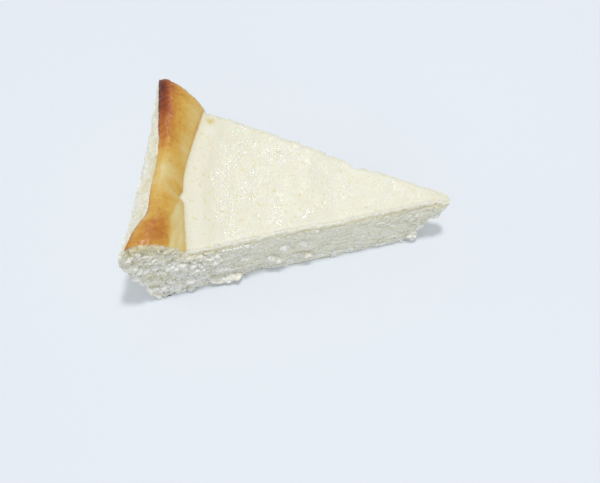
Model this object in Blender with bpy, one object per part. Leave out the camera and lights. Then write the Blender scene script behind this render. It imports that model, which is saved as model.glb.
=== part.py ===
"""One wedge of baked curd cheesecake without a base, lying flat as it is served.

Metres, +Z up. The origin is the middle of the slice's footprint box, on the plane that it rests on. +X
points along the slice to its tip, the browned rim stands at the -X end, and the two cut faces look to -Y
and +Y.

The slice starts as a cube divided into a fine grid. Each grid point is carried to its place by three
shares: how far it lies from the tip to the outer wall, how far across from the middle to a cut face (-1 to
1), and how far up from the base to the top. Crags and flakes are then fused on.
"""

import math
import random

import bmesh
import bpy
from mathutils import Matrix, Vector, noise

MM = 0.001

# Driving dimensions. Distances along the slice are measured from the tip towards the outer wall.
LENGTH = 124.6 * MM
HALF_ANGLE = math.radians(19.4)
TIP_WIDTH = 2.3 * MM
SIDE_SHIFT = 0.35 * MM  # how far the middle line lies towards the far cut
LENGTH_CENTRE = 62.4 * MM  # the distance from the tip at which the footprint box has its middle

SLAB_AT_TIP = 20.1 * MM
SLAB_BEHIND_TIP = 22.3 * MM
SLAB_BEFORE_RIM = 23.7 * MM
TIP_DROOP_LENGTH = 9.0 * MM
SLAB_SWELL_FROM, SLAB_SWELL_TO = 44.0 * MM, 62.0 * MM
GROOVE_DEPTH, GROOVE_WIDTH, GROOVE_OFFSET = 0.5 * MM, 2.6 * MM, 6.0 * MM
TOP_EDGE_DROP, TOP_EDGE_REACH = 0.7 * MM, 1.3 * MM

# The rim: where its browned band starts and ends, and how high its crest stands, across the slice.
RIM_INNER = [(-1, 100.2), (-0.42, 104.2), (0.05, 106.8), (1, 103.6)]
RIM_OUTER = [(-1, 121.4), (-0.8, 119.8), (-0.58, 116.7), (-0.3, 117.5), (0.2, 117.9), (0.5, 120), (1, 123.4)]
RIM_CREST = [(-1, 35.2), (-0.72, 34.0), (-0.5, 32.4), (0, 31.9), (0.45, 33.4), (0.85, 35.8), (1, 35.7)]
CREST_SHARE = 0.75  # the crest's place across the band
CREST_POWER = 0.8  # below 1 makes the inner slope of the rim steeper at its foot
OUTER_EDGE_DROP = 0.16  # the share of the rim's rise that is lost again at the band's outer edge
NOTCH_ACROSS, NOTCH_WIDTH, NOTCH_DEPTH = -0.274, 0.045, 2.2 * MM

# The outer wall and the broken underside of the tip, each as (share of the height, distance from the tip).
WALL = [(0.0, 114.9), (0.18, 115.9), (0.38, 119.4), (0.56, 121.6), (0.74, 124.2)]
WALL_FALL_AT, WALL_FALL = 0.88, 0.3  # where above its fullest line the wall has drawn in by this share
TIP_BREAK = [(0.0, 14.1), (0.24, 12.7), (0.5, 9.4), (0.62, 6.0), (0.68, 3.4), (0.84, 1.8), (1.0, 0.0)]

# A chip is broken out of the far top edge, and the near cut is slightly hollow along its middle.
CHIP_AT, CHIP_HALF_LENGTH, CHIP_DEPTH, CHIP_HEIGHT = 38.6 * MM, 3.6 * MM, 3.2 * MM, 9.0 * MM
HOLLOW_AT, HOLLOW_REACH, HOLLOW_DEPTH = 66.0 * MM, 22.0 * MM, 1.0 * MM

# Relief of the torn curd: how far it swells and sinks on the cut faces and on the outer wall.
CUT_RELIEF_TIP, CUT_RELIEF_MIDDLE, CUT_RELIEF_RIM = 0.7 * MM, 0.55 * MM, 1.2 * MM
WALL_RELIEF = 1.1 * MM
WALL_LAYER = 3  # the cut faces use -1 and 1, so that no two faces share a pattern
WALL_BAND, EDGE_BAND = 0.9, 0.12  # the shares over which the wall's relief fades inwards and upwards
TOP_RELIEF = 0.22 * MM
ROUGH_FROM, ROUGH_TO, ROUGH_TIP, CALM_TIP = 78.0 * MM, 100.0 * MM, 34.0 * MM, 3.0 * MM
CRAG_LENGTH, CRAG_HEIGHT = 7.0 * MM, 2.6 * MM

# Grid steps along, across and up, and the share of its triangles that the slice keeps.
STEPS = (112, 58, 22)
KEPT_TRIANGLES = 0.175
FLOOR_SNAP = 0.06 * MM

# Crags that stand out: distance along, side (-1 near, 1 far), height of the middle, full size and turn.
NAMED_CRAGS = {
    "base_flake": (91.5, -1, 2.2, (14.0, 6.6, 3.6), 6.0),
    "base_flake_end": (85.5, -1, 1.7, (7.0, 4.6, 2.4), -10.0),
    "corner_nib": (113.6, -1, 1.9, (6.0, 7.4, 3.0), 35.0),
    "corner_ledge": (115.2, -1, 10.6, (9.0, 4.4, 3.2), 10.0),
    "rim_ledge": (120.8, -1, 21.8, (7.0, 4.2, 3.6), 6.0),
    "tip_curl": (14.0, -1, 2.9, (3.0, 3.4, 5.2), 0.0),
    "tip_flake": (6.4, -1, 13.0, (4.2, 2.6, 1.5), -16.0),
    "mid_ledge": (101.0, -1, 12.6, (13.0, 3.2, 2.4), 8.0),
    "low_ledge": (107.0, -1, 5.4, (12.0, 4.0, 3.2), 10.0),
    "far_ledge": (104.0, 1, 8.0, (14.0, 3.6, 3.0), -6.0),
    "far_foot": (70.0, 1, 2.0, (10.0, 4.0, 2.8), 4.0),
}
SMALL_CRAGS = 18
SMALL_CRAG_LENGTH = (3.6 * MM, 7.5 * MM)
SMALL_CRAG_WIDTH = (2.6 * MM, 3.8 * MM)
SMALL_CRAG_ALONG = (76.0 * MM, 119.0 * MM)
SMALL_CRAG_UP = (4.0 * MM, 20.0 * MM)
SMALL_CRAG_TURN = (-4.0, 14.0)
CRAG_SINK = 0.8 * MM  # how far inside the cut face a crag has its middle
CRAG_ROUGHNESS = 0.75
CRAG_CLEARANCE = 0.2 * MM  # the least height of a fused crag above the plane of the base
CRAG_CLEARANCE_STEP = 0.03 * MM  # each crag stops a little higher than the last, so that no two are level
SEED = 11

CURD_COLOUR = (0.86, 0.84, 0.74, 1.0)
BROWNED_COLOUR = (0.55, 0.27, 0.07, 1.0)


def smooth(x):
    """A step from 0 to 1 with level ends."""
    x = min(max(x, 0.0), 1.0)
    return x * x * (3.0 - 2.0 * x)


def slope_at(points, index):
    """The slope of the curve at one of its points: that of the line between its two neighbours."""
    (x0, y0), (x1, y1) = points[max(index - 1, 0)], points[min(index + 1, len(points) - 1)]
    return (y1 - y0) / (x1 - x0)


def through(points, x):
    """The height at x of a smooth curve through a few (x, height) points, a cubic between each two."""
    x = min(max(x, points[0][0]), points[-1][0])
    index = next(i for i in range(len(points) - 1) if x <= points[i + 1][0])
    (x0, y0), (x1, y1) = points[index], points[index + 1]
    t = (x - x0) / (x1 - x0)
    bend = (1.0 - t) * slope_at(points, index) - t * slope_at(points, index + 1)
    lift = (1.0 - 2.0 * t) * (y1 - y0) / (x1 - x0)
    return y0 + (y1 - y0) * t + (x1 - x0) * t * (1.0 - t) * (bend - lift)


def bump(x, reach):
    """1 at 0, falling to nothing a few reaches away."""
    return math.exp(-((x / reach) ** 2))


def rim_inner(across):
    """Distance from the tip at which the rim starts to rise, with the small notch in its edge."""
    return through(RIM_INNER, across) * MM + NOTCH_DEPTH * bump(across - NOTCH_ACROSS, NOTCH_WIDTH)


def rim_outer(across):
    return through(RIM_OUTER, across) * MM


def rim_share(t):
    """The rim's rise at the share t of its band: a steep inner slope, a crest and a soft fall."""
    if t <= 0.0:
        return 0.0
    if t < CREST_SHARE:
        return math.sin(0.5 * math.pi * t / CREST_SHARE) ** CREST_POWER
    return 1.0 - OUTER_EDGE_DROP * ((t - CREST_SHARE) / (1.0 - CREST_SHARE)) ** 2


def half_width(along):
    return 0.5 * TIP_WIDTH + along * math.tan(HALF_ANGLE)


def slab_height(along, across):
    """The flat part of the top: it droops at the tip, swells on the way and has a groove by the rim."""
    swell = smooth((along - SLAB_SWELL_FROM) / (SLAB_SWELL_TO - SLAB_SWELL_FROM))
    height = SLAB_BEHIND_TIP + (SLAB_BEFORE_RIM - SLAB_BEHIND_TIP) * swell
    droop = max(0.0, 1.0 - along / TIP_DROOP_LENGTH)
    height -= (SLAB_BEHIND_TIP - SLAB_AT_TIP) * droop**2
    return height - GROOVE_DEPTH * bump(along - (rim_inner(across) - GROOVE_OFFSET), GROOVE_WIDTH)


def top_height(along, across):
    """The top with its rim, rounded over at the two cut edges."""
    slab = slab_height(along, across)
    inner, outer = rim_inner(across), rim_outer(across)
    rise = through(RIM_CREST, across) * MM - SLAB_BEFORE_RIM
    height = slab + rise * rim_share((along - inner) / (outer - inner))
    from_edge = (1.0 - abs(across)) * half_width(along)
    height -= TOP_EDGE_DROP * bump(from_edge, TOP_EDGE_REACH)
    swell = noise.noise(Vector((along, across * half_width(along), 0.0)) / (6.0 * MM))
    return height + TOP_RELIEF * swell


def wall_distance(across, up):
    """Distance of the outer wall from the tip: undercut at the base and fullest just below the rim."""
    fullest, outer = WALL[-1][1], through(RIM_OUTER, across)
    drawn_in = [(WALL_FALL_AT, fullest + WALL_FALL * (outer - fullest)), (1.0, outer)]
    return through(WALL + drawn_in, up) * MM


def cut_relief(along):
    """How rough a cut face is: roughest by the rim and smeared smooth along the middle."""
    near_rim = smooth((along - ROUGH_FROM) / (ROUGH_TO - ROUGH_FROM))
    near_tip = 1.0 - smooth(along / ROUGH_TIP)
    relief = CUT_RELIEF_MIDDLE + (CUT_RELIEF_RIM - CUT_RELIEF_MIDDLE) * near_rim
    relief += (CUT_RELIEF_TIP - CUT_RELIEF_MIDDLE) * near_tip
    return relief * smooth((along + CALM_TIP) / (3.0 * CALM_TIP))


def crags(along, up, layer):
    """Torn layers that run along the slice, from -1 to 1, with a different pattern on each layer number."""
    long_grain = noise.noise(Vector((along / CRAG_LENGTH, layer * 7.3, up / CRAG_HEIGHT)))
    short_grain = noise.noise(Vector((2.3 * along / CRAG_LENGTH, layer * 3.1, 1.7 * up / CRAG_HEIGHT)))
    return 1.1 * long_grain + 0.6 * short_grain


def place(share_along, across, share_up):
    """The place of one grid point, from its three shares."""
    top_along = share_along * rim_outer(across)
    top = top_height(top_along, across)
    height = share_up * top
    start = through(TIP_BREAK, share_up) * MM
    end = wall_distance(across, share_up)
    along = start + (end - start) * share_along
    at_wall = smooth((share_along - WALL_BAND) / (1.0 - WALL_BAND)) * smooth((1.0 - share_up) / EDGE_BAND)
    along += WALL_RELIEF * crags(across * half_width(along), height, WALL_LAYER) * at_wall
    along = min(along, LENGTH)
    width = half_width(along) + cut_relief(along) * crags(along, height, math.copysign(1.0, across))
    y = SIDE_SHIFT + across * width
    if across < 0.0:
        hollow = bump(along - HOLLOW_AT, HOLLOW_REACH) * math.sin(math.pi * share_up**0.6)
        y += HOLLOW_DEPTH * hollow * across**2
    else:
        below_top = smooth(1.0 - (top - height) / CHIP_HEIGHT)
        y -= CHIP_DEPTH * bump(along - CHIP_AT, CHIP_HALF_LENGTH) ** 2 * below_top * across**4
    return Vector((LENGTH_CENTRE - along, y, height))


def divided_cube():
    """A unit cube with a grid on each face, STEPS cells along, across and up."""
    cube = bmesh.new()
    bmesh.ops.create_cube(cube, size=1.0)
    for axis, steps in enumerate(STEPS):
        edges = [e for e in cube.edges if abs((e.verts[0].co - e.verts[1].co)[axis]) > 0.5]
        bmesh.ops.subdivide_edges(cube, edges=edges, cuts=steps - 1, use_grid_fill=True)
    return cube


def new_object(name, mesh_data, collection):
    """A named object made from a bmesh, which is freed."""
    mesh = bpy.data.meshes.new(name)
    mesh_data.to_mesh(mesh)
    mesh_data.free()
    piece = bpy.data.objects.new(name, mesh)
    collection.objects.link(piece)
    return piece


def apply_modifiers(piece):
    """Gives the object the mesh that its modifiers make."""
    graph = bpy.context.evaluated_depsgraph_get()
    made = bpy.data.meshes.new_from_object(piece.evaluated_get(graph))
    old = piece.data
    piece.modifiers.clear()
    piece.data = made
    bpy.data.meshes.remove(old)


def make_body(collection):
    """The whole wedge, carried from the divided cube and then thinned where it is smooth."""
    grid = divided_cube()
    for vertex in grid.verts:
        x, y, z = vertex.co
        vertex.co = place(round(0.5 - x, 6), round(2.0 * y, 6), round(z + 0.5, 6))
    bmesh.ops.triangulate(grid, faces=grid.faces)
    body = new_object("cheesecake", grid, collection)
    thin = body.modifiers.new("thin", "DECIMATE")
    thin.ratio = KEPT_TRIANGLES
    apply_modifiers(body)
    return body


def make_crag(name, centre, size, turn, collection):
    """A rough lump of curd: a ball drawn out to its size, roughened and turned about the Y axis."""
    lump = bmesh.new()
    bmesh.ops.create_icosphere(lump, subdivisions=2, radius=0.5)
    tilt = Matrix.Rotation(math.radians(turn), 3, "Y")
    lowest = CRAG_CLEARANCE + CRAG_CLEARANCE_STEP * len(collection.objects)
    for vertex in lump.verts:
        rough = 1.0 + CRAG_ROUGHNESS * noise.noise(vertex.co * 2.6 + centre / CRAG_HEIGHT)
        offset = Vector([a * b for a, b in zip(vertex.co * rough, size)])
        vertex.co = centre + tilt @ offset
        vertex.co.z = max(vertex.co.z, lowest)
    return new_object(name, lump, collection)


def crag_centre(along, side, height):
    """A point just inside a cut face."""
    y = SIDE_SHIFT + side * (half_width(along) - CRAG_SINK)
    return Vector((LENGTH_CENTRE - along, y, height))


def make_crags(collection):
    """The crags that show in their own right, then small ones by a seeded draw where the curd is torn."""
    for name, (along, side, height, size, turn) in NAMED_CRAGS.items():
        centre = crag_centre(along * MM, side, height * MM)
        make_crag(name, centre, [length * MM for length in size], turn, collection)
    draw = random.Random(SEED)
    for index in range(SMALL_CRAGS):
        side = -1 if index % 3 else 1
        along = draw.uniform(*SMALL_CRAG_ALONG)
        height = draw.uniform(*SMALL_CRAG_UP)
        length = draw.uniform(*SMALL_CRAG_LENGTH)
        size = (length, draw.uniform(*SMALL_CRAG_WIDTH), 0.45 * length)
        turn = draw.uniform(*SMALL_CRAG_TURN)
        make_crag(f"crag_{index}", crag_centre(along, side, height), size, turn, collection)


def fuse(body, crag_collection):
    """Joins the crags to the body as one solid, and removes them as separate objects."""
    union = body.modifiers.new("crags", "BOOLEAN")
    union.operation = "UNION"
    union.operand_type = "COLLECTION"
    union.collection = crag_collection
    apply_modifiers(body)
    for crag in list(crag_collection.objects):
        bpy.data.objects.remove(crag)
    bpy.data.collections.remove(crag_collection)


def level_base(body):
    """Brings the points that thinning moved off the resting plane back onto it."""
    for vertex in body.data.vertices:
        if vertex.co.z < FLOOR_SNAP:
            vertex.co.z = 0.0


def centre_footprint(body):
    """Moves the slice in its plane so that the middle of its footprint box is the origin."""
    corners = [Vector(corner) for corner in body.bound_box]
    middle = (corners[0] + corners[6]) / 2.0
    body.data.transform(Matrix.Translation((-middle.x, -middle.y, 0.0)))


def finish(name, colour, roughness):
    material = bpy.data.materials.new(name)
    material.use_nodes = True
    shader = material.node_tree.nodes["Principled BSDF"]
    shader.inputs["Base Color"].default_value = colour
    shader.inputs["Roughness"].default_value = roughness
    shader.inputs["Metallic"].default_value = 0.0
    return material


def is_browned(centre, normal):
    """Whether a face belongs to the browned skin on top of the rim."""
    along = LENGTH_CENTRE - centre.x
    across = (centre.y - SIDE_SHIFT) / half_width(along)
    return normal.z > 0.1 and rim_inner(across) < along < rim_outer(across) + 0.4 * MM


def dress(body):
    """Pale curd all over, with the browned skin on the rim."""
    body.data.materials.clear()
    body.data.materials.append(finish("curd", CURD_COLOUR, 0.55))
    body.data.materials.append(finish("browned_skin", BROWNED_COLOUR, 0.3))
    for face in body.data.polygons:
        face.material_index = int(is_browned(face.center, face.normal))
    body.data.shade_smooth()
    body.data.set_sharp_from_angle(angle=math.radians(50.0))


def main():
    for old in list(bpy.data.objects):
        bpy.data.objects.remove(old)
    collection = bpy.data.collections.new("cheesecake")
    crag_collection = bpy.data.collections.new("crags")
    bpy.context.scene.collection.children.link(collection)
    bpy.context.scene.collection.children.link(crag_collection)
    body = make_body(collection)
    make_crags(crag_collection)
    fuse(body, crag_collection)
    level_base(body)
    dress(body)
    centre_footprint(body)


main()
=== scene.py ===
"""A wedge of baked curd cheesecake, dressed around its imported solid.

Every length is in metres, written as millimetres times MM. A place on the slice is given by how far it lies
along the slice from its tip, how far across it from the middle line (-1 at the near cut, 1 at the far cut)
and how high it stands. +X points to the tip, -Y to the near cut and +Z up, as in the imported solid.
"""

from __future__ import annotations

import itertools
import logging
import math
from dataclasses import dataclass, field
from enum import Enum

import bpy
import numpy as np
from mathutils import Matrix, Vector


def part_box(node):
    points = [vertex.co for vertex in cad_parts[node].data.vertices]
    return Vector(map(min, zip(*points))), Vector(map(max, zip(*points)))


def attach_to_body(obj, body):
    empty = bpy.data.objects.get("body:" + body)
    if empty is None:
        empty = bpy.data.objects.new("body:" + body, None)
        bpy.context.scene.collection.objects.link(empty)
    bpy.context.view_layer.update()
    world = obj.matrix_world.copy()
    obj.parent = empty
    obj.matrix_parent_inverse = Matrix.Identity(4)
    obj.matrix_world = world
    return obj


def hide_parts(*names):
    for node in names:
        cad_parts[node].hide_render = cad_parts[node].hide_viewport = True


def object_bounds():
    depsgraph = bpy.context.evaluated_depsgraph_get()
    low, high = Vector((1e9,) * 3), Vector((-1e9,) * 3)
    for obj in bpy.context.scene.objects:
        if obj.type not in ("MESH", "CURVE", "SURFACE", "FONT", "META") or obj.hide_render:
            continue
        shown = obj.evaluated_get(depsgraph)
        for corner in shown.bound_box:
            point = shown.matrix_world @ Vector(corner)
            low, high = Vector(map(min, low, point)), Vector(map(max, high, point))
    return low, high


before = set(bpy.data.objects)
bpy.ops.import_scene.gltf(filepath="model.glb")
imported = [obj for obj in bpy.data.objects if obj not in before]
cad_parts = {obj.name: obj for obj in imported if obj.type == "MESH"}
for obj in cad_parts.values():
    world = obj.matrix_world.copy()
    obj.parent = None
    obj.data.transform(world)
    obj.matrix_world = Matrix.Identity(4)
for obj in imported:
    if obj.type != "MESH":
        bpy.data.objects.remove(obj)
CAD_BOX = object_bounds()

LOG = logging.getLogger("cheesecake")
MM = 0.001
NODE = "cheesecake"
BODY = "root"

Colour = tuple[float, float, float]
Size = tuple[float, float, float]
Range = tuple[float, float]
Pair = tuple[float, float]
Socket = bpy.types.NodeSocket
Value = float | Colour | Socket
# Lumps by points by three, then the tone and the warmth of each lump.
Flakes = tuple[np.ndarray, np.ndarray, np.ndarray]


class Side(Enum):
    """The two cut faces of the slice, by the sign of Y that they look to."""

    NEAR = -1
    FAR = 1


class Kind(Enum):
    """The kinds of socket that a shared node group has."""

    NUMBER = "NodeSocketFloat"
    VECTOR = "NodeSocketVector"
    COLOUR = "NodeSocketColor"


def linear(red: int, green: int, blue: int) -> Colour:
    """A colour seen on a screen, from 0 to 255, as the linear values from 0 to 1 that a shader takes."""
    shares = (value / 255.0 for value in (red, green, blue))
    return tuple(s / 12.92 if s <= 0.04045 else ((s + 0.055) / 1.055) ** 2.4 for s in shares)


def smooth(values: np.ndarray) -> np.ndarray:
    """A step from 0 to 1 with level ends: 3 t squared less 2 t cubed, with t held between 0 and 1."""
    held = np.clip(values, 0.0, 1.0)
    return held * held * (3.0 - 2.0 * held)


def bump(values: np.ndarray, reach: float) -> np.ndarray:
    """1 at 0, falling off as a bell curve whose half width is about the reach."""
    return np.exp(-((values / reach) ** 2))


def held_below(values: np.ndarray, limit: float, margin: float) -> np.ndarray:
    """Values that never pass a limit: from a margin below it on, they follow a hyperbolic tangent."""
    knee = limit - margin
    return np.where(values > knee, knee + margin * np.tanh((values - knee) / margin), values)


# Noise, computed for whole arrays of points at once.

CORNERS = [np.array(corner) for corner in itertools.product((0, 1), repeat=3)]
GRADIENTS = np.array(
    [point for point in itertools.product((-1.0, 0.0, 1.0), repeat=3) if sum(map(abs, point)) == 2.0]
)
LOW_BITS = np.uint64(2**32 - 1)
AXIS_PRIMES = np.array([73856093, 19349663, 83492791], np.uint64)
SEED_PRIME = 2654435761
MIXERS = [(np.uint64(15), np.uint64(2246822519)), (np.uint64(13), np.uint64(3266489917))]


def scrambled(cells: np.ndarray, seed: int) -> np.ndarray:
    """A scrambled whole number for each cell of a lattice.

    Each coordinate is multiplied by a large prime, the products are combined by exclusive or with the
    seed's own product, and the result is mixed by shifts and two more products, all in 32 bits.

    Args:
        cells: Whole coordinates, one row of three for each cell.
        seed: Which of many unlike patterns to give.

    Returns:
        One number for each row.
    """
    mixed = np.bitwise_xor.reduce(cells.astype(np.uint64) * AXIS_PRIMES, axis=1)
    mixed = (mixed ^ np.uint64(seed * SEED_PRIME % 2**32)) & LOW_BITS
    for shift, prime in MIXERS:
        mixed = ((mixed ^ (mixed >> shift)) * prime) & LOW_BITS
    return mixed ^ (mixed >> np.uint64(16))


def grain(seed: int, *coordinates: np.ndarray | float) -> np.ndarray:
    """Gradient noise, from about -1 to 1.

    Each corner of the cell around a point has one of twelve slopes, picked by the scrambled number of the
    corner. The point's offset from each corner is multiplied into its slope, and the eight results are
    blended by the quintic 6 t^5 - 15 t^4 + 10 t^3 along each axis.

    Args:
        seed: Which of many unlike patterns to give.
        coordinates: Two or three arrays of the points' coordinates, in cells.

    Returns:
        One value for each point.
    """
    arrays = np.broadcast_arrays(*coordinates, *([0.5] * (3 - len(coordinates))))
    points = np.stack([np.asarray(array, float).ravel() for array in arrays], axis=1)
    cells = np.floor(points)
    offsets = points - cells
    eased = offsets**3 * (offsets * (6.0 * offsets - 15.0) + 10.0)
    total = np.zeros(len(points))
    for corner in CORNERS:
        slopes = GRADIENTS[scrambled((cells + corner).astype(np.int64), seed) % np.uint64(len(GRADIENTS))]
        share = np.where(corner, eased, 1.0 - eased).prod(axis=1)
        total += share * ((offsets - corner) * slopes).sum(axis=1)
    return total.reshape(arrays[0].shape)


def rough_grain(seed: int, octaves: int, *coordinates: np.ndarray | float) -> np.ndarray:
    """Noise with finer noise on top: each octave has half the size and half the height of the last."""
    layers = (
        grain(seed + octave, *[np.asarray(c) * 2.0**octave for c in coordinates]) / 2.0**octave
        for octave in range(octaves)
    )
    return sum(layers)


def knobs(seed: int, *coordinates: np.ndarray | float) -> np.ndarray:
    """Rounded knobs packed side by side, from 0 in the creases between them to about 1 on their crowns.

    Each cell of a lattice holds one ball, at a place and of a radius from the cell's scrambled number. The
    height is the root of 1 less the squared distance to a ball's centre in radii, for the ball that gives
    the most.

    Args:
        seed: Which of many unlike patterns to give.
        coordinates: Two or three arrays of the points' coordinates, in cells.

    Returns:
        One value for each point.
    """
    arrays = np.broadcast_arrays(*coordinates)
    points = np.stack([np.asarray(array, float).ravel() for array in arrays], axis=1)
    size = len(arrays)
    cells = np.floor(points)
    best = np.zeros(len(points))
    for step in itertools.product((-1, 0, 1), repeat=size):
        cell = cells + step
        rows = np.column_stack([cell, np.zeros((len(cell), 3 - size))]).astype(np.int64)
        drawn = scrambled(rows, seed)[:, None] >> np.array([0, 8, 16, 24], np.uint64)
        shares = (drawn & np.uint64(255)).astype(float) / 255.0
        apart = ((points - cell - 0.1 - 0.8 * shares[:, :size]) ** 2).sum(axis=1)
        best = np.maximum(best, 1.0 - apart / (0.55 + 0.45 * shares[:, 3]) ** 2)
    return np.sqrt(best).reshape(arrays[0].shape)


@dataclass(frozen=True)
class Curve:
    """A smooth curve through a few (place, height) points, a cubic between each two.

    The slope at a point is that of the line between its two neighbours, so the heights enter linearly.
    """

    points: tuple[Pair, ...]

    def at(self, places: np.ndarray) -> np.ndarray:
        """The curve's height at each place.

        Args:
            places: Where to read the curve. Past its ends it stays level.

        Returns:
            One height for each place.
        """
        xs, ys = np.array(self.points).T
        last = len(xs) - 1
        before = np.maximum(np.arange(last + 1) - 1, 0)
        after = np.minimum(np.arange(last + 1) + 1, last)
        slopes = (ys[after] - ys[before]) / (xs[after] - xs[before])
        held = np.clip(places, xs[0], xs[-1])
        i = np.clip(np.searchsorted(xs, held) - 1, 0, last - 1)
        width, rise = xs[i + 1] - xs[i], ys[i + 1] - ys[i]
        t = (held - xs[i]) / width
        bend = (1.0 - t) * slopes[i] - t * slopes[i + 1]
        lift = (1.0 - 2.0 * t) * rise / width
        return ys[i] + rise * t + width * t * (1.0 - t) * (bend - lift)


@dataclass(frozen=True)
class SliceForm:
    """The smooth shape of the wedge, before its surface is torn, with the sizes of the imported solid.

    The slab swells towards the rim, and a shallow groove runs before the rim. The rim's band lies between
    its inner and outer edges, and a notch cuts into its inner edge. The tip is broken back towards its foot.
    """

    tip_x: float
    middle_y: float = 0.07 * MM
    length: float = 124.5 * MM
    half_angle: float = math.radians(19.4)
    tip_width: float = 2.3 * MM
    slab_at_tip: float = 20.1 * MM
    slab_behind_tip: float = 22.3 * MM
    slab_before_rim: float = 23.7 * MM
    droop_length: float = 9.0 * MM
    swell_from: float = 44.0 * MM
    swell_to: float = 62.0 * MM
    groove_depth: float = 0.4 * MM
    groove_width: float = 3.2 * MM
    groove_offset: float = 6.0 * MM
    edge_drop: float = 0.7 * MM
    edge_reach: float = 1.3 * MM
    # These curves give millimetres, the first three by the share across and the last three by the share up.
    rim_inner: Curve = Curve(((-1, 100.2), (-0.42, 104.2), (0.05, 106.8), (1, 103.6)))
    rim_outer: Curve = Curve(
        ((-1, 121.4), (-0.8, 119.8), (-0.58, 116.7), (-0.3, 117.5), (0.2, 117.9), (0.5, 120), (1, 123.4))
    )
    rim_crest: Curve = Curve(
        ((-1, 35.2), (-0.72, 34.0), (-0.5, 32.4), (0, 31.9), (0.45, 33.4), (0.85, 35.8), (1, 35.7))
    )
    crest_share: float = 0.75
    crest_power: float = 0.8
    outer_edge_drop: float = 0.16
    notch_across: float = -0.274
    notch_width: float = 0.045
    notch_depth: float = 2.2 * MM
    wall: Curve = Curve(
        ((0.0, 114.9), (0.18, 115.9), (0.38, 119.4), (0.56, 121.6), (0.74, 124.2), (0.88, 124.2), (1, 124.2))
    )
    wall_fullest: float = 124.2
    wall_draw: Curve = Curve(((0.0, 0.0), (0.56, 0.0), (0.74, 0.0), (0.88, 0.3), (1.0, 1.0)))
    tip_break: Curve = Curve(
        ((0.0, 14.1), (0.24, 12.7), (0.5, 9.4), (0.62, 6.0), (0.68, 3.4), (0.84, 1.8), (1.0, 0.0))
    )
    chip_at: float = 38.6 * MM
    chip_half_length: float = 3.6 * MM
    chip_depth: float = 3.2 * MM
    chip_height: float = 9.0 * MM
    hollow_at: float = 66.0 * MM
    hollow_reach: float = 22.0 * MM
    hollow_depth: float = 1.0 * MM
    nick_at: float = 75.0 * MM
    nick_reach: float = 4.4 * MM
    nick_depth: float = 1.5 * MM
    nick_height: float = 5.0 * MM

    def half_width(self, along: np.ndarray) -> np.ndarray:
        """Half the slice's width: it grows evenly from the blunt tip."""
        return 0.5 * self.tip_width + along * math.tan(self.half_angle)

    def band(self, along: np.ndarray, across: np.ndarray) -> np.ndarray:
        """The share of the rim's band at which a place lies: 0 at its inner edge and 1 at its outer edge.

        The notch pushes the inner edge outwards, and the push fades out over the foot of the rim.

        Args:
            along: Distances from the tip.
            across: Shares of the half width, from -1 to 1.

        Returns:
            The shares, below 0 on the slab.
        """
        inner = self.rim_inner.at(across) * MM
        width = self.rim_outer.at(across) * MM - inner
        notch = self.notch_depth * bump(across - self.notch_across, self.notch_width)
        plain = (along - inner) / width
        return plain - notch / width * (1.0 - smooth(plain / 0.5))

    def rim_share(self, band: np.ndarray) -> np.ndarray:
        """The rim's rise at a share of its band.

        It follows the quarter sine, raised to a power below 1 so that its foot is steep, up to the crest,
        and a parabola down from there to the outer edge.

        Args:
            band: Shares of the band, from 0 at its inner edge to 1 at its outer edge.

        Returns:
            The rise, from 0 to 1.
        """
        up = np.sin(0.5 * np.pi * np.clip(band / self.crest_share, 0.0, 1.0)) ** self.crest_power
        past = np.clip((band - self.crest_share) / (1.0 - self.crest_share), 0.0, 1.0)
        return up - self.outer_edge_drop * past**2

    def top(self, along: np.ndarray, across: np.ndarray) -> np.ndarray:
        """The height of the top: slab, droop at the tip, groove, rim and the rounding at the cut edges.

        Args:
            along: Distances from the tip.
            across: Shares of the half width, from -1 to 1.

        Returns:
            The heights.
        """
        swell = smooth((along - self.swell_from) / (self.swell_to - self.swell_from))
        slab = self.slab_behind_tip + (self.slab_before_rim - self.slab_behind_tip) * swell
        droop = np.maximum(0.0, 1.0 - along / self.droop_length)
        slab -= (self.slab_behind_tip - self.slab_at_tip) * droop**2
        from_rim = along - (self.rim_inner.at(across) * MM - self.groove_offset)
        slab -= self.groove_depth * bump(from_rim, self.groove_width)
        rise = self.rim_crest.at(across) * MM - self.slab_before_rim
        height = slab + rise * self.rim_share(self.band(along, across))
        return height - self.edge_drop * bump(self.from_edge(along, across), self.edge_reach)

    def from_edge(self, along: np.ndarray, across: np.ndarray) -> np.ndarray:
        """The distance of a place from the nearer cut face."""
        return (1.0 - np.abs(across)) * self.half_width(along)

    def dent(self, along: np.ndarray, across: np.ndarray, height: np.ndarray, top: np.ndarray) -> np.ndarray:
        """How far a cut face is set back by dents, all of them bell curves along the face.

        The near cut has a shallow hollow, a sine over its height, and a nick at its foot. The far cut has a
        chip under its top edge. Both fade out towards the middle of the slice.

        Args:
            along: Distances from the tip.
            across: Shares of the half width, from -1 to 1.
            height: Heights above the base.
            top: The top's height at each place.

        Returns:
            The distances, inward positive.
        """
        up = np.clip(height / top, 0.0, 1.0)
        near = self.hollow_depth * bump(along - self.hollow_at, self.hollow_reach) * np.sin(np.pi * up**0.6)
        near += self.nick_depth * bump(along - self.nick_at, self.nick_reach) * bump(height, self.nick_height)
        under = smooth(1.0 - (top - height) / self.chip_height)
        far = self.chip_depth * bump(along - self.chip_at, self.chip_half_length) ** 2 * under
        return np.where(across < 0.0, near * across**2, far * across**4)

    def wall_distance(self, across: np.ndarray, up: np.ndarray) -> np.ndarray:
        """The outer wall's distance from the tip: its profile, drawn in to the rim's edge at the top."""
        draw = (self.rim_outer.at(across) - self.wall_fullest) * self.wall_draw.at(up)
        return (self.wall.at(up) + draw) * MM


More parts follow.
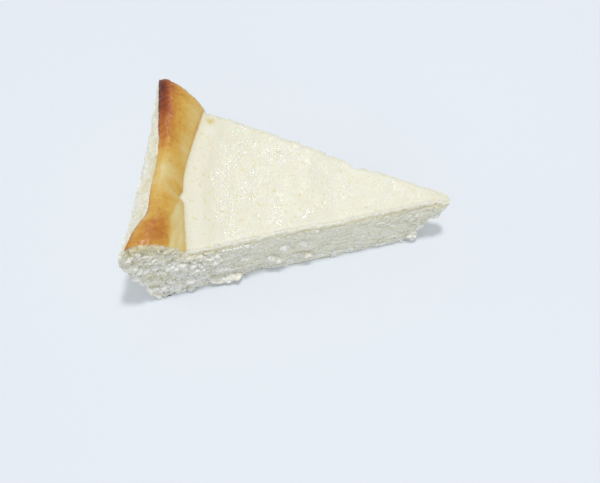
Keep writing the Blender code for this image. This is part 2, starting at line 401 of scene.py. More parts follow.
@dataclass(frozen=True)
class TornCurd:
    """The relief of torn curd: shelves that run along a face, lumps on them and pits between them."""

    shelf_height: float = 2.7 * MM
    patch_length: float = 6.0 * MM
    knob: Pair = (2.1 * MM, 1.5 * MM)
    nib: Pair = (1.05 * MM, 0.85 * MM)
    lean: float = 0.10
    calm_tip: float = 3.0 * MM
    calm_edge: float = 1.6 * MM
    inward: float = 0.25
    tip_lip: float = 1.0 * MM
    lip_length: float = 6.0 * MM
    lip_height: float = 8.0 * MM
    # How far the relief swells in the middle of a cut, by the rim and by the tip, in millimetres.
    near_swell: Size = (0.5, 1.5, 0.85)
    far_swell: Size = (0.8, 1.4, 0.8)
    rim_from: float = 82.0 * MM
    rim_ramp: float = 24.0 * MM
    tip_ramp: float = 36.0 * MM
    wall_swell: float = 1.05 * MM
    near_seed: int = 40
    far_seed: int = 70
    wall_seed: int = 90

    def roughness(self, along: np.ndarray, side: Side) -> np.ndarray:
        """How far the relief swells: most near the rim, and least where the knife smeared the middle.

        Args:
            along: Distances from the tip.
            side: The cut face.

        Returns:
            The size of the relief.
        """
        near_rim = smooth((along - self.rim_from) / self.rim_ramp)
        near_tip = 1.0 - smooth(along / self.tip_ramp)
        middle, rim, tip = self.near_swell if side is Side.NEAR else self.far_swell
        size = (middle + (rim - middle) * near_rim + (tip - middle) * near_tip) * MM
        return size * smooth((along + self.calm_tip) / (3.0 * self.calm_tip))

    def outward(self, along: np.ndarray, height: np.ndarray, below_top: np.ndarray, side: Side) -> np.ndarray:
        """How far a cut face stands out from its smooth form.

        Knobs: rounded lumps of two sizes. Shelves: the height, bent by slow noise and by the knobs, is
        divided into layers. Within a layer the face swells as a power of the share climbed and falls back
        at its top, which leaves a lit shelf with a knobbly edge. Noise breaks each layer into patches. At
        the tip the upper part bulges into a blunt lip.

        Args:
            along: Distances from the tip.
            height: Heights above the base.
            below_top: Distances below the top's edge.
            side: The cut face.

        Returns:
            The distances, outward positive.
        """
        seed = self.near_seed if side is Side.NEAR else self.far_seed
        lean = height + self.lean * along
        crowns = knobs(seed, along / self.knob[0], lean / self.knob[1])
        nibs = knobs(seed + 1, along / self.nib[0], lean / self.nib[1])
        warp = 1.3 * grain(seed + 2, along / (15 * MM), height / (10 * MM)) + 0.22 * crowns
        warp += 0.3 * grain(seed + 3, along / (4.0 * MM), height / (4 * MM))
        layer = lean / self.shelf_height + warp
        number = np.floor(layer)
        climbed = layer - number
        patch = smooth(0.45 + 1.5 * grain(seed + 4, along / self.patch_length + 3.7 * number, number * 5.3))
        shelves = (climbed**1.5 * (1.0 - smooth((climbed - 0.86) / 0.14)) - 0.25) * patch
        swell = rough_grain(seed + 5, 2, along / (5 * MM), lean / (2.6 * MM))
        dense = smooth(0.5 + 1.4 * grain(seed + 8, along / (7 * MM), lean / (4 * MM)))
        total = 1.2 * shelves + 1.15 * (crowns - 0.6) * (0.45 + 0.55 * dense) + 0.55 * swell
        total += 0.62 * (nibs - 0.6) * (0.3 + 0.7 * dense)
        calm = 0.4 + 0.6 * smooth(below_top / self.calm_edge)
        lip = self.tip_lip * bump(along, self.lip_length) * (1.0 - smooth(below_top / self.lip_height))
        return self.roughness(along, side) * (total - self.inward) * calm + lip

    def wall_outward(self, y: np.ndarray, height: np.ndarray) -> np.ndarray:
        """How far the outer wall stands out: short shelves and lumps, where it tore away from its mould.

        Args:
            y: Places across the wall.
            height: Heights above the base.

        Returns:
            The distances, outward positive.
        """
        seed = self.wall_seed
        crowns = knobs(seed, y / (2.2 * MM), height / (1.9 * MM))
        warp = 1.1 * grain(seed + 1, y / (8 * MM), height / (9 * MM))
        layer = height / (4.0 * MM) + warp + 0.25 * crowns
        number = np.floor(layer)
        climbed = layer - number
        patch = smooth(0.4 + 1.5 * grain(seed + 2, y / (5 * MM) + 2.9 * number, number * 4.1))
        shelves = (climbed**1.4 * (1.0 - smooth((climbed - 0.84) / 0.16)) - 0.3) * patch
        swell = rough_grain(seed + 3, 2, y / (5.0 * MM), height / (4.0 * MM))
        return self.wall_swell * (shelves + 0.75 * (crowns - 0.6) + 0.7 * swell)


@dataclass(frozen=True)
class Patch:
    """One soft spot on the rim where the curd browned more or less than around it."""

    across: float
    band: float
    reach_across: float
    reach_band: float
    amount: float

    def at(self, across: np.ndarray, band: np.ndarray) -> np.ndarray:
        """The spot's amount at each place: a bell curve both ways."""
        spread = bump(across - self.across, self.reach_across) * bump(band - self.band, self.reach_band)
        return self.amount * spread


@dataclass(frozen=True)
class Stain:
    """One small golden stain on the slab: its place, its reach in millimetres and its amount."""

    along: float
    across: float
    reach: float
    amount: float

    def at(self, along: np.ndarray, y: np.ndarray, half_width: np.ndarray) -> np.ndarray:
        """The stain's amount at each place: a bell curve round its middle."""
        apart = np.hypot(along - self.along * MM, y - self.across * half_width)
        return self.amount * bump(apart, self.reach * MM)


@dataclass(frozen=True)
class Browning:
    """How far each place on the rim has browned, from 0, pale, to 1, dark brown."""

    golden: float = 0.36
    patches: tuple[Patch, ...] = (
        Patch(0.96, 1.00, 0.44, 0.28, 0.47),
        Patch(0.66, 0.76, 0.38, 0.30, 0.29),
        Patch(0.28, 0.78, 0.20, 0.28, 0.12),
        Patch(0.80, 0.14, 0.36, 0.20, -0.03),
        Patch(0.30, 0.10, 0.28, 0.20, -0.08),
        Patch(0.02, 0.66, 0.22, 0.24, -0.11),
        Patch(-0.22, 0.55, 0.18, 0.40, -0.12),
        Patch(-0.42, 0.50, 0.11, 0.20, 0.02),
        Patch(-0.82, 0.54, 0.20, 0.32, 0.25),
    )
    mottle: float = 0.085
    inner_line: float = 0.06
    inner_line_far: float = 0.16
    outer_line: float = 0.24
    stains: tuple[Stain, ...] = (
        Stain(100.6, 0.88, 1.7, 1.0),
        Stain(99.2, 0.07, 0.6, 0.6),
        Stain(81.6, -0.66, 0.6, 0.7),
        Stain(71.0, 0.65, 0.9, 0.3),
    )
    # The fold's share of the band, by the share across.
    fold: Curve = Curve(((-1, 0.27), (-0.8, 0.31), (-0.6, 0.31), (-0.45, 0.24), (-0.35, 0.13), (-0.27, 0.0)))
    skirt_amount: float = 0.23

    def skirt(self, across: np.ndarray, band: np.ndarray) -> np.ndarray:
        """Where the pale skirt lies, below the fold that runs from the notch to the near cut.

        The result steps from 0 to 1 over a twenty-fifth of the band, and the fold wanders a little.

        Args:
            across: Shares of the half width, from -1 to 1.
            band: Shares of the rim's band.

        Returns:
            The shares of skirt.
        """
        fold = self.fold.at(across)
        wander = 0.16 * fold * grain(118, across / 0.09, 0.5)
        return smooth((fold + wander - band) / 0.04) * smooth(fold / 0.04)

    def stain(self, along: np.ndarray, y: np.ndarray, half_width: np.ndarray) -> np.ndarray:
        """The small golden stains on the slab, added up."""
        return sum(stain.at(along, y, half_width) for stain in self.stains)

    def at(self, along: np.ndarray, across: np.ndarray, band: np.ndarray) -> np.ndarray:
        """The amount of browning: a golden level, soft spots, darker edges of the band and slow noise.

        Args:
            along: Distances from the tip.
            across: Shares of the half width, from -1 to 1.
            band: Shares of the rim's band.

        Returns:
            The amounts.
        """
        total = self.golden + sum(patch.at(across, band) for patch in self.patches)
        inner = self.inner_line + self.inner_line_far * smooth((across - 0.1) / 0.4)
        total += inner * bump(band - 0.01, 0.025)
        total += self.outer_line * bump(band - 1.0, 0.05) * smooth(np.abs(across - 0.05) / 0.5)
        total += self.mottle * rough_grain(120, 3, along / (6 * MM), across / 0.11)
        skirt = self.skirt(across, band)
        pale = self.skirt_amount + 0.16 * grain(124, along / (1.6 * MM), across / 0.3)
        pale = pale + 0.12 * bump(band, 0.03)
        return np.clip(total * (1.0 - skirt) + pale * skirt, 0.03, 1.0)


# Meshes.


def piece_from(
    name: str,
    points: np.ndarray,
    faces: list[list[int]],
    masks: dict[str, np.ndarray] | None = None,
    sharp: float = 60.0,
) -> bpy.types.Object:
    """A finished piece from arrays, at the origin, shaded smooth but for its sharp edges.

    Args:
        name: The piece's name.
        points: Its points, one row each.
        faces: The rows of points round each face.
        masks: Numbers to store for each point, by name, for the materials to read.
        sharp: The angle in degrees past which an edge between faces isn't shaded smooth.

    Returns:
        The piece, in the scene.
    """
    mesh = bpy.data.meshes.new(name)
    mesh.from_pydata(points.tolist(), [], faces)
    mesh.update()
    for mask, values in (masks or {}).items():
        mesh.attributes.new(mask, "FLOAT", "POINT").data.foreach_set("value", values.astype(np.float32))
    mesh.shade_smooth()
    mesh.set_sharp_from_angle(angle=math.radians(sharp))
    piece = bpy.data.objects.new(name, mesh)
    bpy.context.scene.collection.objects.link(piece)
    return piece


def attach(piece: bpy.types.Object, material: bpy.types.Material) -> None:
    """Gives a piece its material, its body and the slot that its finish comes from."""
    piece.data.materials.append(material)
    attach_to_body(piece, BODY)


@dataclass(frozen=True)
class Lattice:
    """The surface points of a box divided into cells, and the faces between them.

    Points on the edges of the box belong to all its sides, so the surface is closed. The underside is flat,
    so it has only its outline and a middle line.
    """

    along: int = 324
    across: int = 88
    up: int = 84

    def key(self, i: np.ndarray, j: np.ndarray, k: np.ndarray) -> np.ndarray:
        """One number for each lattice point."""
        return (np.asarray(i) * (self.across + 1) + j) * (self.up + 1) + k

    def side(self, axis: int, end: int, counts: tuple[int, int, int]) -> np.ndarray:
        """The faces of one side of the box, each as four lattice numbers.

        Args:
            axis: The axis that the side stands across.
            end: 0 for its low side and 1 for its high side.
            counts: The cells along the three axes.

        Returns:
            One row for each face, in the order that makes it point outwards.
        """
        first, second = [other for other in range(3) if other != axis]
        a, b = np.meshgrid(np.arange(counts[first]), np.arange(counts[second]), indexing="ij")
        rows = []
        for step_a, step_b in ((0, 0), (1, 0), (1, 1), (0, 1)):
            place = [None, None, None]
            place[axis] = np.full(a.shape, end * counts[axis])
            place[first], place[second] = a + step_a, b + step_b
            rows.append(self.key(*place).ravel())
        faces = np.stack(rows, axis=1)
        # Along runs towards -X, so the three axes make a left-handed set.
        outward = (axis == 1) == bool(end)
        return faces if outward else faces[:, ::-1]

    def underside(self) -> list[list[int]]:
        """The faces below: a strip on each side of the middle line, and wider faces at both ends."""
        middle, last = self.across // 2, self.across
        faces = []
        for i in range(self.along):
            for low, high in ((0, middle), (middle, last)):
                near = range(low, high + 1) if i == 0 else (low, high)
                far = range(low, high + 1) if i == self.along - 1 else (low, high)
                start = [int(self.key(i, j, 0)) for j in near]
                end = [int(self.key(i + 1, j, 0)) for j in far]
                faces.append(start + end[::-1])
        return faces

    def build(self) -> tuple[np.ndarray, list[list[int]]]:
        """The lattice as shares and faces.

        Returns:
            The three shares of each point, from 0 to 1, and the rows of points round each face.
        """
        counts = (self.along, self.across, self.up)
        sides = [self.side(axis, end, counts) for axis in range(3) for end in (0, 1) if (axis, end) != (2, 0)]
        quads = np.concatenate(sides)
        under = self.underside()
        used = np.unique(np.concatenate([quads.ravel(), np.array([k for face in under for k in face])]))
        rows = np.full(int(used.max()) + 1, -1)
        rows[used] = np.arange(len(used))
        columns = (self.across + 1) * (self.up + 1)
        shares = np.stack(
            [used // columns / self.along, used // (self.up + 1) % (self.across + 1) / self.across,
             used % (self.up + 1) / self.up], axis=1
        )
        return shares, rows[quads].tolist() + [[int(rows[k]) for k in face] for face in under]


@dataclass
class SliceBody:
    """The slice itself as one closed surface: slab, browned rim, torn cuts, outer wall and broken tip."""

    form: SliceForm
    torn: TornCurd
    browning: Browning
    lattice: Lattice = Lattice()
    edge_crowding: float = 0.2
    wall_band: float = 0.94
    lip_depth: float = 0.5 * MM
    ripple: float = 0.2 * MM
    tip_relief: float = 0.7 * MM
    edge_round: float = 0.35 * MM
    side_limit: float = 1.3 * MM
    side_margin: float = 0.6 * MM
    length_margin: float = 0.8 * MM
    box_margin: float = 0.3 * MM

    def surface(self, shares: np.ndarray) -> tuple[np.ndarray, dict[str, np.ndarray]]:
        """Carries lattice points to the slice's surface.

        A point's shares give its place between the broken tip and the outer wall, between the cuts, and
        between base and top. Its column leans so that it starts on the tip's broken line and ends on the
        wall's profile. Relief of torn curd is then added outwards, less the further a point lies inside.

        Args:
            shares: The three shares of each lattice point.

        Returns:
            The points, and the numbers that the material reads at each: inset, how far it lies inside the
            cuts, and below, how far under the top, both in millimetres; band, its share of the rim's band;
            browning; stain; and the painted shade of the crevices, 1 deep between crags and 0 on them.
        """
        form, torn = self.form, self.torn
        share, up = shares[:, 0], shares[:, 2]
        across = 2.0 * shares[:, 1] - 1.0
        across = across * (1.0 + self.edge_crowding * (1.0 - across**2))
        outer = form.rim_outer.at(across) * MM
        top_along = share * outer
        top = form.top(top_along, across) + self.top_relief(top_along, across)
        height = up * top
        below = top - height
        start = form.tip_break.at(up) * MM
        along = start + (form.wall_distance(across, up) - start) * share

        at_wall = smooth((share - self.wall_band) / (1.0 - self.wall_band))
        wall_out = torn.wall_outward(across * form.half_width(along), height) * smooth(below / (1.2 * MM))
        lip = self.lip_depth * bump(below - 0.9 * MM, 0.6 * MM) * smooth(height / (20 * MM))
        at_tip = smooth(1.0 - share / 0.03)
        tip_in = self.tip_relief * rough_grain(94, 3, across / 0.6, height / (3.0 * MM))
        tip_in = tip_in * smooth(below / (2.0 * MM))
        along = along + at_wall * (wall_out - lip) + at_tip * tip_in
        along = held_below(along, form.length, self.length_margin)

        side_out = np.where(
            across < 0.0,
            torn.outward(along, height, below, Side.NEAR),
            torn.outward(along, height, below, Side.FAR),
        )
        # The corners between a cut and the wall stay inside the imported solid's box.
        side_out = held_below(side_out, self.side_limit, self.side_margin)
        rounded = self.edge_round * bump(below, 0.6 * MM) * smooth(along / (6 * MM))
        ragged = self.edge_chips(along, across) * smooth(1.0 - below / (2.5 * MM))
        y = across * (form.half_width(along) + side_out - rounded - ragged)
        y = y - np.sign(across) * form.dent(along, across, height, top)
        points = np.stack([form.tip_x - along, form.middle_y + y, height], axis=1)
        proud = side_out * bump(form.from_edge(along, across), 1.0 * MM) / (1.1 * MM)
        proud = proud + wall_out * at_wall / (0.9 * MM)
        band = form.band(top_along, across)
        half_width = form.half_width(top_along)
        # Painted shade: the curd is coloured darker and yellower in the crevices between crags, less on the
        # wall.
        painted_shade_and_warmth = np.clip(0.1 - 0.7 * proud, 0.0, 1.0) * smooth(below / (0.8 * MM))
        masks = {
            "inset": np.minimum(form.from_edge(along, across), outer - along) / MM,
            "below": below / MM,
            "band": band,
            "browning": self.browning.at(top_along, across, band),
            "stain": self.browning.stain(top_along, across * half_width, half_width),
            "painted_shade_and_warmth": painted_shade_and_warmth * (1.0 - 0.6 * at_wall),
        }
        return self.inside_box(points), masks

    def top_relief(self, along: np.ndarray, across: np.ndarray) -> np.ndarray:
        """Low swells all over the top, and wrinkles on the rim's inner slope.

        Args:
            along: Distances from the tip.
            across: Shares of the half width, from -1 to 1.

        Returns:
            Heights to add.
        """
        y = across * self.form.half_width(along)
        band = self.form.band(along, across)
        on_rim = smooth(band / 0.15)
        swells = self.ripple * grain(150, along / (6 * MM), y / (6 * MM))
        swells = swells + 0.05 * MM * grain(151, along / (1.7 * MM), y / (1.7 * MM)) * (1.0 - on_rim)
        lumps = on_rim * 0.34 * MM * rough_grain(152, 2, along / (5.5 * MM), y / (7 * MM))
        skirt = self.browning.skirt(across, band) * smooth(band / 0.06)
        wrinkles = skirt * MM * (0.22 * grain(154, along / (1.5 * MM), y / (6 * MM)) - 0.3)
        streaks = 0.08 * MM * bump(band + 0.5, 0.3) * grain(155, along / (1.5 * MM), y / (26 * MM))
        return swells + lumps + wrinkles + streaks

    def edge_chips(self, along: np.ndarray, across: np.ndarray) -> np.ndarray:
        """How far the top edge of a cut is set back: small chips, more and larger on the far side."""
        far = across > 0.0
        chips = smooth(2.4 * (grain(160, along / (3.2 * MM), np.where(far, 0.3, 7.3)) - 0.08))
        fine = 0.5 + rough_grain(161, 2, along / (1.8 * MM), np.where(far, 0.3, 7.3))
        set_back = np.where(far, 0.9, 0.45) * MM * chips + np.where(far, 0.35, 0.3) * MM * fine
        on_rim = smooth(self.form.band(along, across) / 0.1)
        return set_back * (1.0 - np.where(far, 0.85, 0.3) * on_rim)

    def inside_box(self, points: np.ndarray) -> np.ndarray:
        """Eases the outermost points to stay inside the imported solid's box.

        Args:
            points: The points, one row each.

        Returns:
            The eased points.
        """
        low, high = (np.array(corner) for corner in CAD_BOX)
        margin = self.box_margin
        eased = points.copy()
        for axis in range(3):
            eased[:, axis] = held_below(eased[:, axis], high[axis], margin)
        for axis in range(2):
            eased[:, axis] = -held_below(-eased[:, axis], -low[axis], margin)
        return eased

    def build(self, material: bpy.types.Material) -> bpy.types.Object:
        """The body's piece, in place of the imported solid.

        Args:
            material: The baked curd that it is made of.

        Returns:
            The piece.
        """
        shares, faces = self.lattice.build()
        points, masks = self.surface(shares)
        piece = piece_from("slice_body", points, faces, masks, sharp=75.0)
        attach(piece, material)
        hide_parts(NODE)
        return piece


@dataclass(frozen=True)
class LumpGrid:
    """The grid of a closed ball: rings between two poles, each ring with the same number of points."""

    rings: int = 6
    points_round: int = 9

    def ball(self) -> np.ndarray:
        """Points on a ball of radius 1: the lower pole, each ring upwards, then the upper pole."""
        tilt = np.linspace(0.0, np.pi, self.rings + 2)[1:-1, None]
        turn = np.linspace(0.0, 2.0 * np.pi, self.points_round, endpoint=False)[None, :]
        rise = np.broadcast_to(-np.cos(tilt), (self.rings, self.points_round))
        ring = np.stack([np.sin(tilt) * np.cos(turn), np.sin(tilt) * np.sin(turn), rise], axis=2)
        return np.concatenate([[[0.0, 0.0, -1.0]], ring.reshape(-1, 3), [[0.0, 0.0, 1.0]]])

    def faces(self) -> list[list[int]]:
        """The faces between the rings, and the fans at the poles."""
        around = np.arange(self.points_round)
        after = (around + 1) % self.points_round
        faces = [[0, 1 + b, 1 + a] for a, b in zip(around.tolist(), after.tolist())]
        for ring in range(self.rings - 1):
            low, high = 1 + ring * self.points_round, 1 + (ring + 1) * self.points_round
            faces += [[low + a, low + b, high + b, high + a] for a, b in zip(around.tolist(), after.tolist())]
        top, last = 1 + self.rings * self.points_round, 1 + (self.rings - 1) * self.points_round
        return faces + [[last + a, last + b, top] for a, b in zip(around.tolist(), after.tolist())]


@dataclass(frozen=True)
class Lumps:
    """Rough lumps and flakes of curd: drawn-out balls, made knobbly, bent and turned."""

    grid: LumpGrid = LumpGrid()
    swell: float = 0.42
    knob: float = 0.35
    knob_size: float = 0.8

    def points(self, centres: np.ndarray, sizes: np.ndarray, turns: np.ndarray, seed: int) -> np.ndarray:
        """The points of many lumps at once.

        A lump is the ball, its radius scaled by 1 plus slow noise and knobs, which read the ball's own place
        in a part of the pattern that no other lump reads. It is then scaled to its size, bent by a share of
        the square of its length, turned about Y and then about Z, and moved to its centre.

        Args:
            centres: One row for each lump.
            sizes: The full length, depth and height of each lump.
            turns: The turns about Y and about Z of each lump, in radians.
            seed: The pattern of the noise.

        Returns:
            An array of lumps by points by three.
        """
        ball = self.grid.ball()[None, :, :]
        own = np.arange(len(centres))[:, None, None] * 7.31
        slow = np.moveaxis(ball * 0.9 + own, 2, 0)
        fine = np.moveaxis(ball * sizes[:, None, :] / sizes.mean() / self.knob_size + own, 2, 0)
        rough = 1.0 + self.swell * 1.5 * grain(seed, *slow) + self.knob * (knobs(seed + 1, *fine) - 0.5)
        local = ball * rough[..., None] * 0.5 * sizes[:, None, :]
        bend = 0.15 * np.sin(np.arange(len(centres)) * 2.4)[:, None]
        local[..., 2] += bend * local[..., 0] ** 2 / (0.5 * sizes[:, None, 0])
        (cos_y, sin_y), (cos_z, sin_z) = ((np.cos(a)[:, None], np.sin(a)[:, None]) for a in turns.T)
        x = cos_y * local[..., 0] + sin_y * local[..., 2]
        z = cos_y * local[..., 2] - sin_y * local[..., 0]
        turned = np.stack([cos_z * x - sin_z * local[..., 1], sin_z * x + cos_z * local[..., 1], z], axis=2)
        return turned + centres[:, None, :]

    def mesh(self, points: np.ndarray) -> tuple[np.ndarray, list[list[int]]]:
        """Joins the lumps' points and faces into one set.

        Args:
            points: An array of lumps by points by three.

        Returns:
            All the points, and the rows of points round each face.
        """
        count, size = points.shape[:2]
        faces = self.grid.faces()
        joined = [[k + lump * size for k in face] for lump in range(count) for face in faces]
        return points.reshape(-1, 3), joined


@dataclass(frozen=True)
class Crag:
    """One crag: where its middle lies, its full size in millimetres and its turn about Y in degrees."""

    along: float
    side: Side
    height: float
    size: Size
    turn: float


@dataclass
class StandingCrags:
    """The crags and clusters of flakes that stand out in their own right: cores clad in lumps."""

    form: SliceForm
    core: Lumps = Lumps(LumpGrid(20, 32), 0.3, 0.3, 0.42)
    lumps: Lumps = Lumps(LumpGrid(7, 10), 0.4, 0.35, 0.8)
    sink: float = 0.8 * MM
    core_share: float = 0.84
    lumps_per_crag: int = 34
    lump_length: Range = (1.0, 2.8)
    lump_shape: Size = (1.0, 0.8, 0.5)
    lump_tilt: float = 0.3
    lump_sink: float = 0.92
    tones: Range = (0.65, 1.0)
    core_tone: float = 0.5
    # Painted shade on the cores, which show between the lumps.
    core_painted_shade: float = 0.2
    floor_gap: float = 0.15 * MM
    seed: int = 210
    crags: tuple[Crag, ...] = (
        Crag(90.5, Side.NEAR, 2.3, (9.0, 6.4, 3.6), 6.0),
        Crag(85.6, Side.NEAR, 2.1, (10.0, 8.2, 3.4), -4.0),
        Crag(113.6, Side.NEAR, 1.9, (6.0, 7.0, 3.0), 35.0),
        Crag(115.2, Side.NEAR, 10.6, (9.0, 4.2, 3.2), 10.0),
        Crag(120.8, Side.NEAR, 21.8, (7.0, 4.0, 3.6), 6.0),
        Crag(13.6, Side.NEAR, 3.2, (3.4, 5.6, 5.4), 0.0),
        Crag(11.6, Side.NEAR, 6.6, (4.6, 2.4, 1.8), -28.0),
        Crag(5.2, Side.NEAR, 12.6, (3.6, 2.6, 1.5), -20.0),
        Crag(69.5, Side.NEAR, 7.0, (7.6, 3.8, 3.4), 14.0),
        Crag(58.4, Side.NEAR, 5.6, (9.0, 3.2, 1.8), 8.0),
        Crag(65.0, Side.NEAR, 13.1, (3.4, 3.0, 2.2), 0.0),
        Crag(57.8, Side.NEAR, 13.1, (4.2, 2.8, 1.8), 20.0),
        Crag(80.0, Side.NEAR, 12.0, (3.2, 3.0, 2.2), 0.0),
        Crag(101.0, Side.NEAR, 12.6, (12.0, 3.2, 2.6), 8.0),
        Crag(107.0, Side.NEAR, 5.4, (11.0, 4.0, 3.2), 10.0),
        Crag(104.0, Side.FAR, 8.0, (14.0, 3.6, 3.0), -6.0),
        Crag(70.0, Side.FAR, 2.0, (10.0, 4.0, 2.8), 4.0),
    )

    def clad(
        self, centres: np.ndarray, sizes: np.ndarray, turns: np.ndarray, rng: np.random.Generator
    ) -> np.ndarray:
        """The lumps on the cores.

        Their middles are spread evenly over the ways out from a core's middle and lie just under its
        surface: each is a random unit vector times the core's half size, turned about Y with the core.

        Args:
            centres: The cores' middles, one row each.
            sizes: The crags' full sizes.
            turns: The crags' turns about Y and about Z.
            rng: Where the draws come from.

        Returns:
            The lumps' points, as lumps by points by three.
        """
        each = self.lumps_per_crag
        ways = rng.normal(size=(len(centres), each, 3))
        ways /= np.linalg.norm(ways, axis=2)[:, :, None]
        steps = 0.5 * self.core_share * self.lump_sink * ways * sizes[:, None, :]
        cos, sin = np.cos(turns[:, :1]), np.sin(turns[:, :1])
        x, y, z = np.moveaxis(steps, 2, 0)
        steps = np.stack([cos * x + sin * z, y, cos * z - sin * x], axis=2)
        length = rng.uniform(*self.lump_length, (len(centres) * each, 1)) * MM
        shape = np.array(self.lump_shape) * rng.uniform(0.75, 1.2, (len(length), 3))
        tilts = rng.normal(0.0, self.lump_tilt, (len(length), 2)) + np.repeat(turns, each, axis=0)
        middles = (centres[:, None, :] + steps).reshape(-1, 3)
        return self.lumps.points(middles, length * shape, tilts, self.seed + 4)

    def build(self, material: bpy.types.Material, hold: SliceBody) -> bpy.types.Object:
        """The crags' piece: cores clad in lumps, kept above the ground.

        Args:
            material: The torn curd that they are made of.
            hold: The body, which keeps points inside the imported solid's box.

        Returns:
            The piece.
        """
        along = np.array([crag.along for crag in self.crags]) * MM
        side = np.array([crag.side.value for crag in self.crags])
        height = np.array([crag.height for crag in self.crags]) * MM
        sizes = np.array([crag.size for crag in self.crags]) * MM
        turns = np.radians([[crag.turn, 0.0] for crag in self.crags])
        y = self.form.middle_y + side * (self.form.half_width(along) - self.sink)
        centres = np.stack([self.form.tip_x - along, y, height], axis=1)
        cores = self.core.points(centres, sizes * self.core_share, turns, self.seed)
        rng = np.random.default_rng(self.seed + 2)
        clad = self.clad(centres, sizes, turns, rng)
        core_points, core_faces = self.core.mesh(cores)
        lump_points, lump_faces = self.lumps.mesh(clad)
        joined = np.concatenate([core_points, lump_points])
        joined[:, 2] = np.maximum(joined[:, 2], self.floor_gap)
        faces = core_faces + [[k + len(core_points) for k in face] for face in lump_faces]
        tones = np.repeat(rng.uniform(*self.tones, len(clad)), clad.shape[1])
        # The cores that show between the lumps are a little darker and yellower: painted shade. The lumps get
        # none.
        masks = {
            "tone": np.concatenate([np.full(len(core_points), self.core_tone), tones]),
            "painted_shade_and_warmth": np.concatenate([np.full(len(core_points), self.core_painted_shade), 0.0 * tones]),
        }
        piece = piece_from("standing_crags", hold.inside_box(joined), faces, masks)
        attach(piece, material)
        return piece


@dataclass(frozen=True)
class Scatter:
    """How many rows of lumps a face carries, how many each has, how large they are and where they lie.

    Lengths are in millimetres. Each pair is the range of an even draw.
    """

    rows: int
    per_row: int
    length: Range
    depth: Range
    flatness: Range
    along: Range
    up: Range
    crowd: float
    sink: float
    tone: Range
    seed: int

    def draw(self) -> dict[str, np.ndarray]:
        """Draws the rows, then the lumps that stand side by side in each.

        A row's distance along is a power of an even draw, which crowds the rows towards the rim. Its lumps
        stand six tenths of a length apart, smaller towards the row's ends, and wander a little up and down.

        Returns:
            For each lump: its row's place from 0 to 1 along and up, its own step along and up from there,
            its length, depth and height, its turns and its tone.
        """
        rng = np.random.default_rng(self.seed)
        rows, count = self.rows, self.rows * self.per_row
        place = np.repeat(rng.random(rows) ** self.crowd, self.per_row)
        up = np.repeat(rng.uniform(*self.up, rows), self.per_row)
        lift = np.repeat(rng.normal(0.08, 0.16, rows), self.per_row)
        size = np.repeat(rng.uniform(*self.length, rows), self.per_row) * MM
        tone = np.repeat(rng.uniform(*self.tone, rows), self.per_row)
        step = np.tile(np.arange(self.per_row) - 0.5 * (self.per_row - 1), rows)
        ends = np.abs(step) / (0.5 * self.per_row)
        length = size * (1.0 - 0.35 * ends) * rng.uniform(0.75, 1.2, count)
        aside = (0.6 * step + rng.normal(0.0, 0.15, count)) * size
        return {
            "place": place,
            "up": up,
            "aside": aside,
            "above": lift * aside + rng.normal(0.0, 0.12, count) * size,
            "length": length,
            "depth": rng.uniform(*self.depth, count) * length,
            "tall": rng.uniform(*self.flatness, count) * length,
            "turn_y": -lift + rng.normal(0.0, 0.2, count),
            "turn_z": rng.normal(0.0, 0.3, count),
            "tone": np.clip(tone + rng.normal(0.0, 0.1, count), 0.0, 1.0),
        }


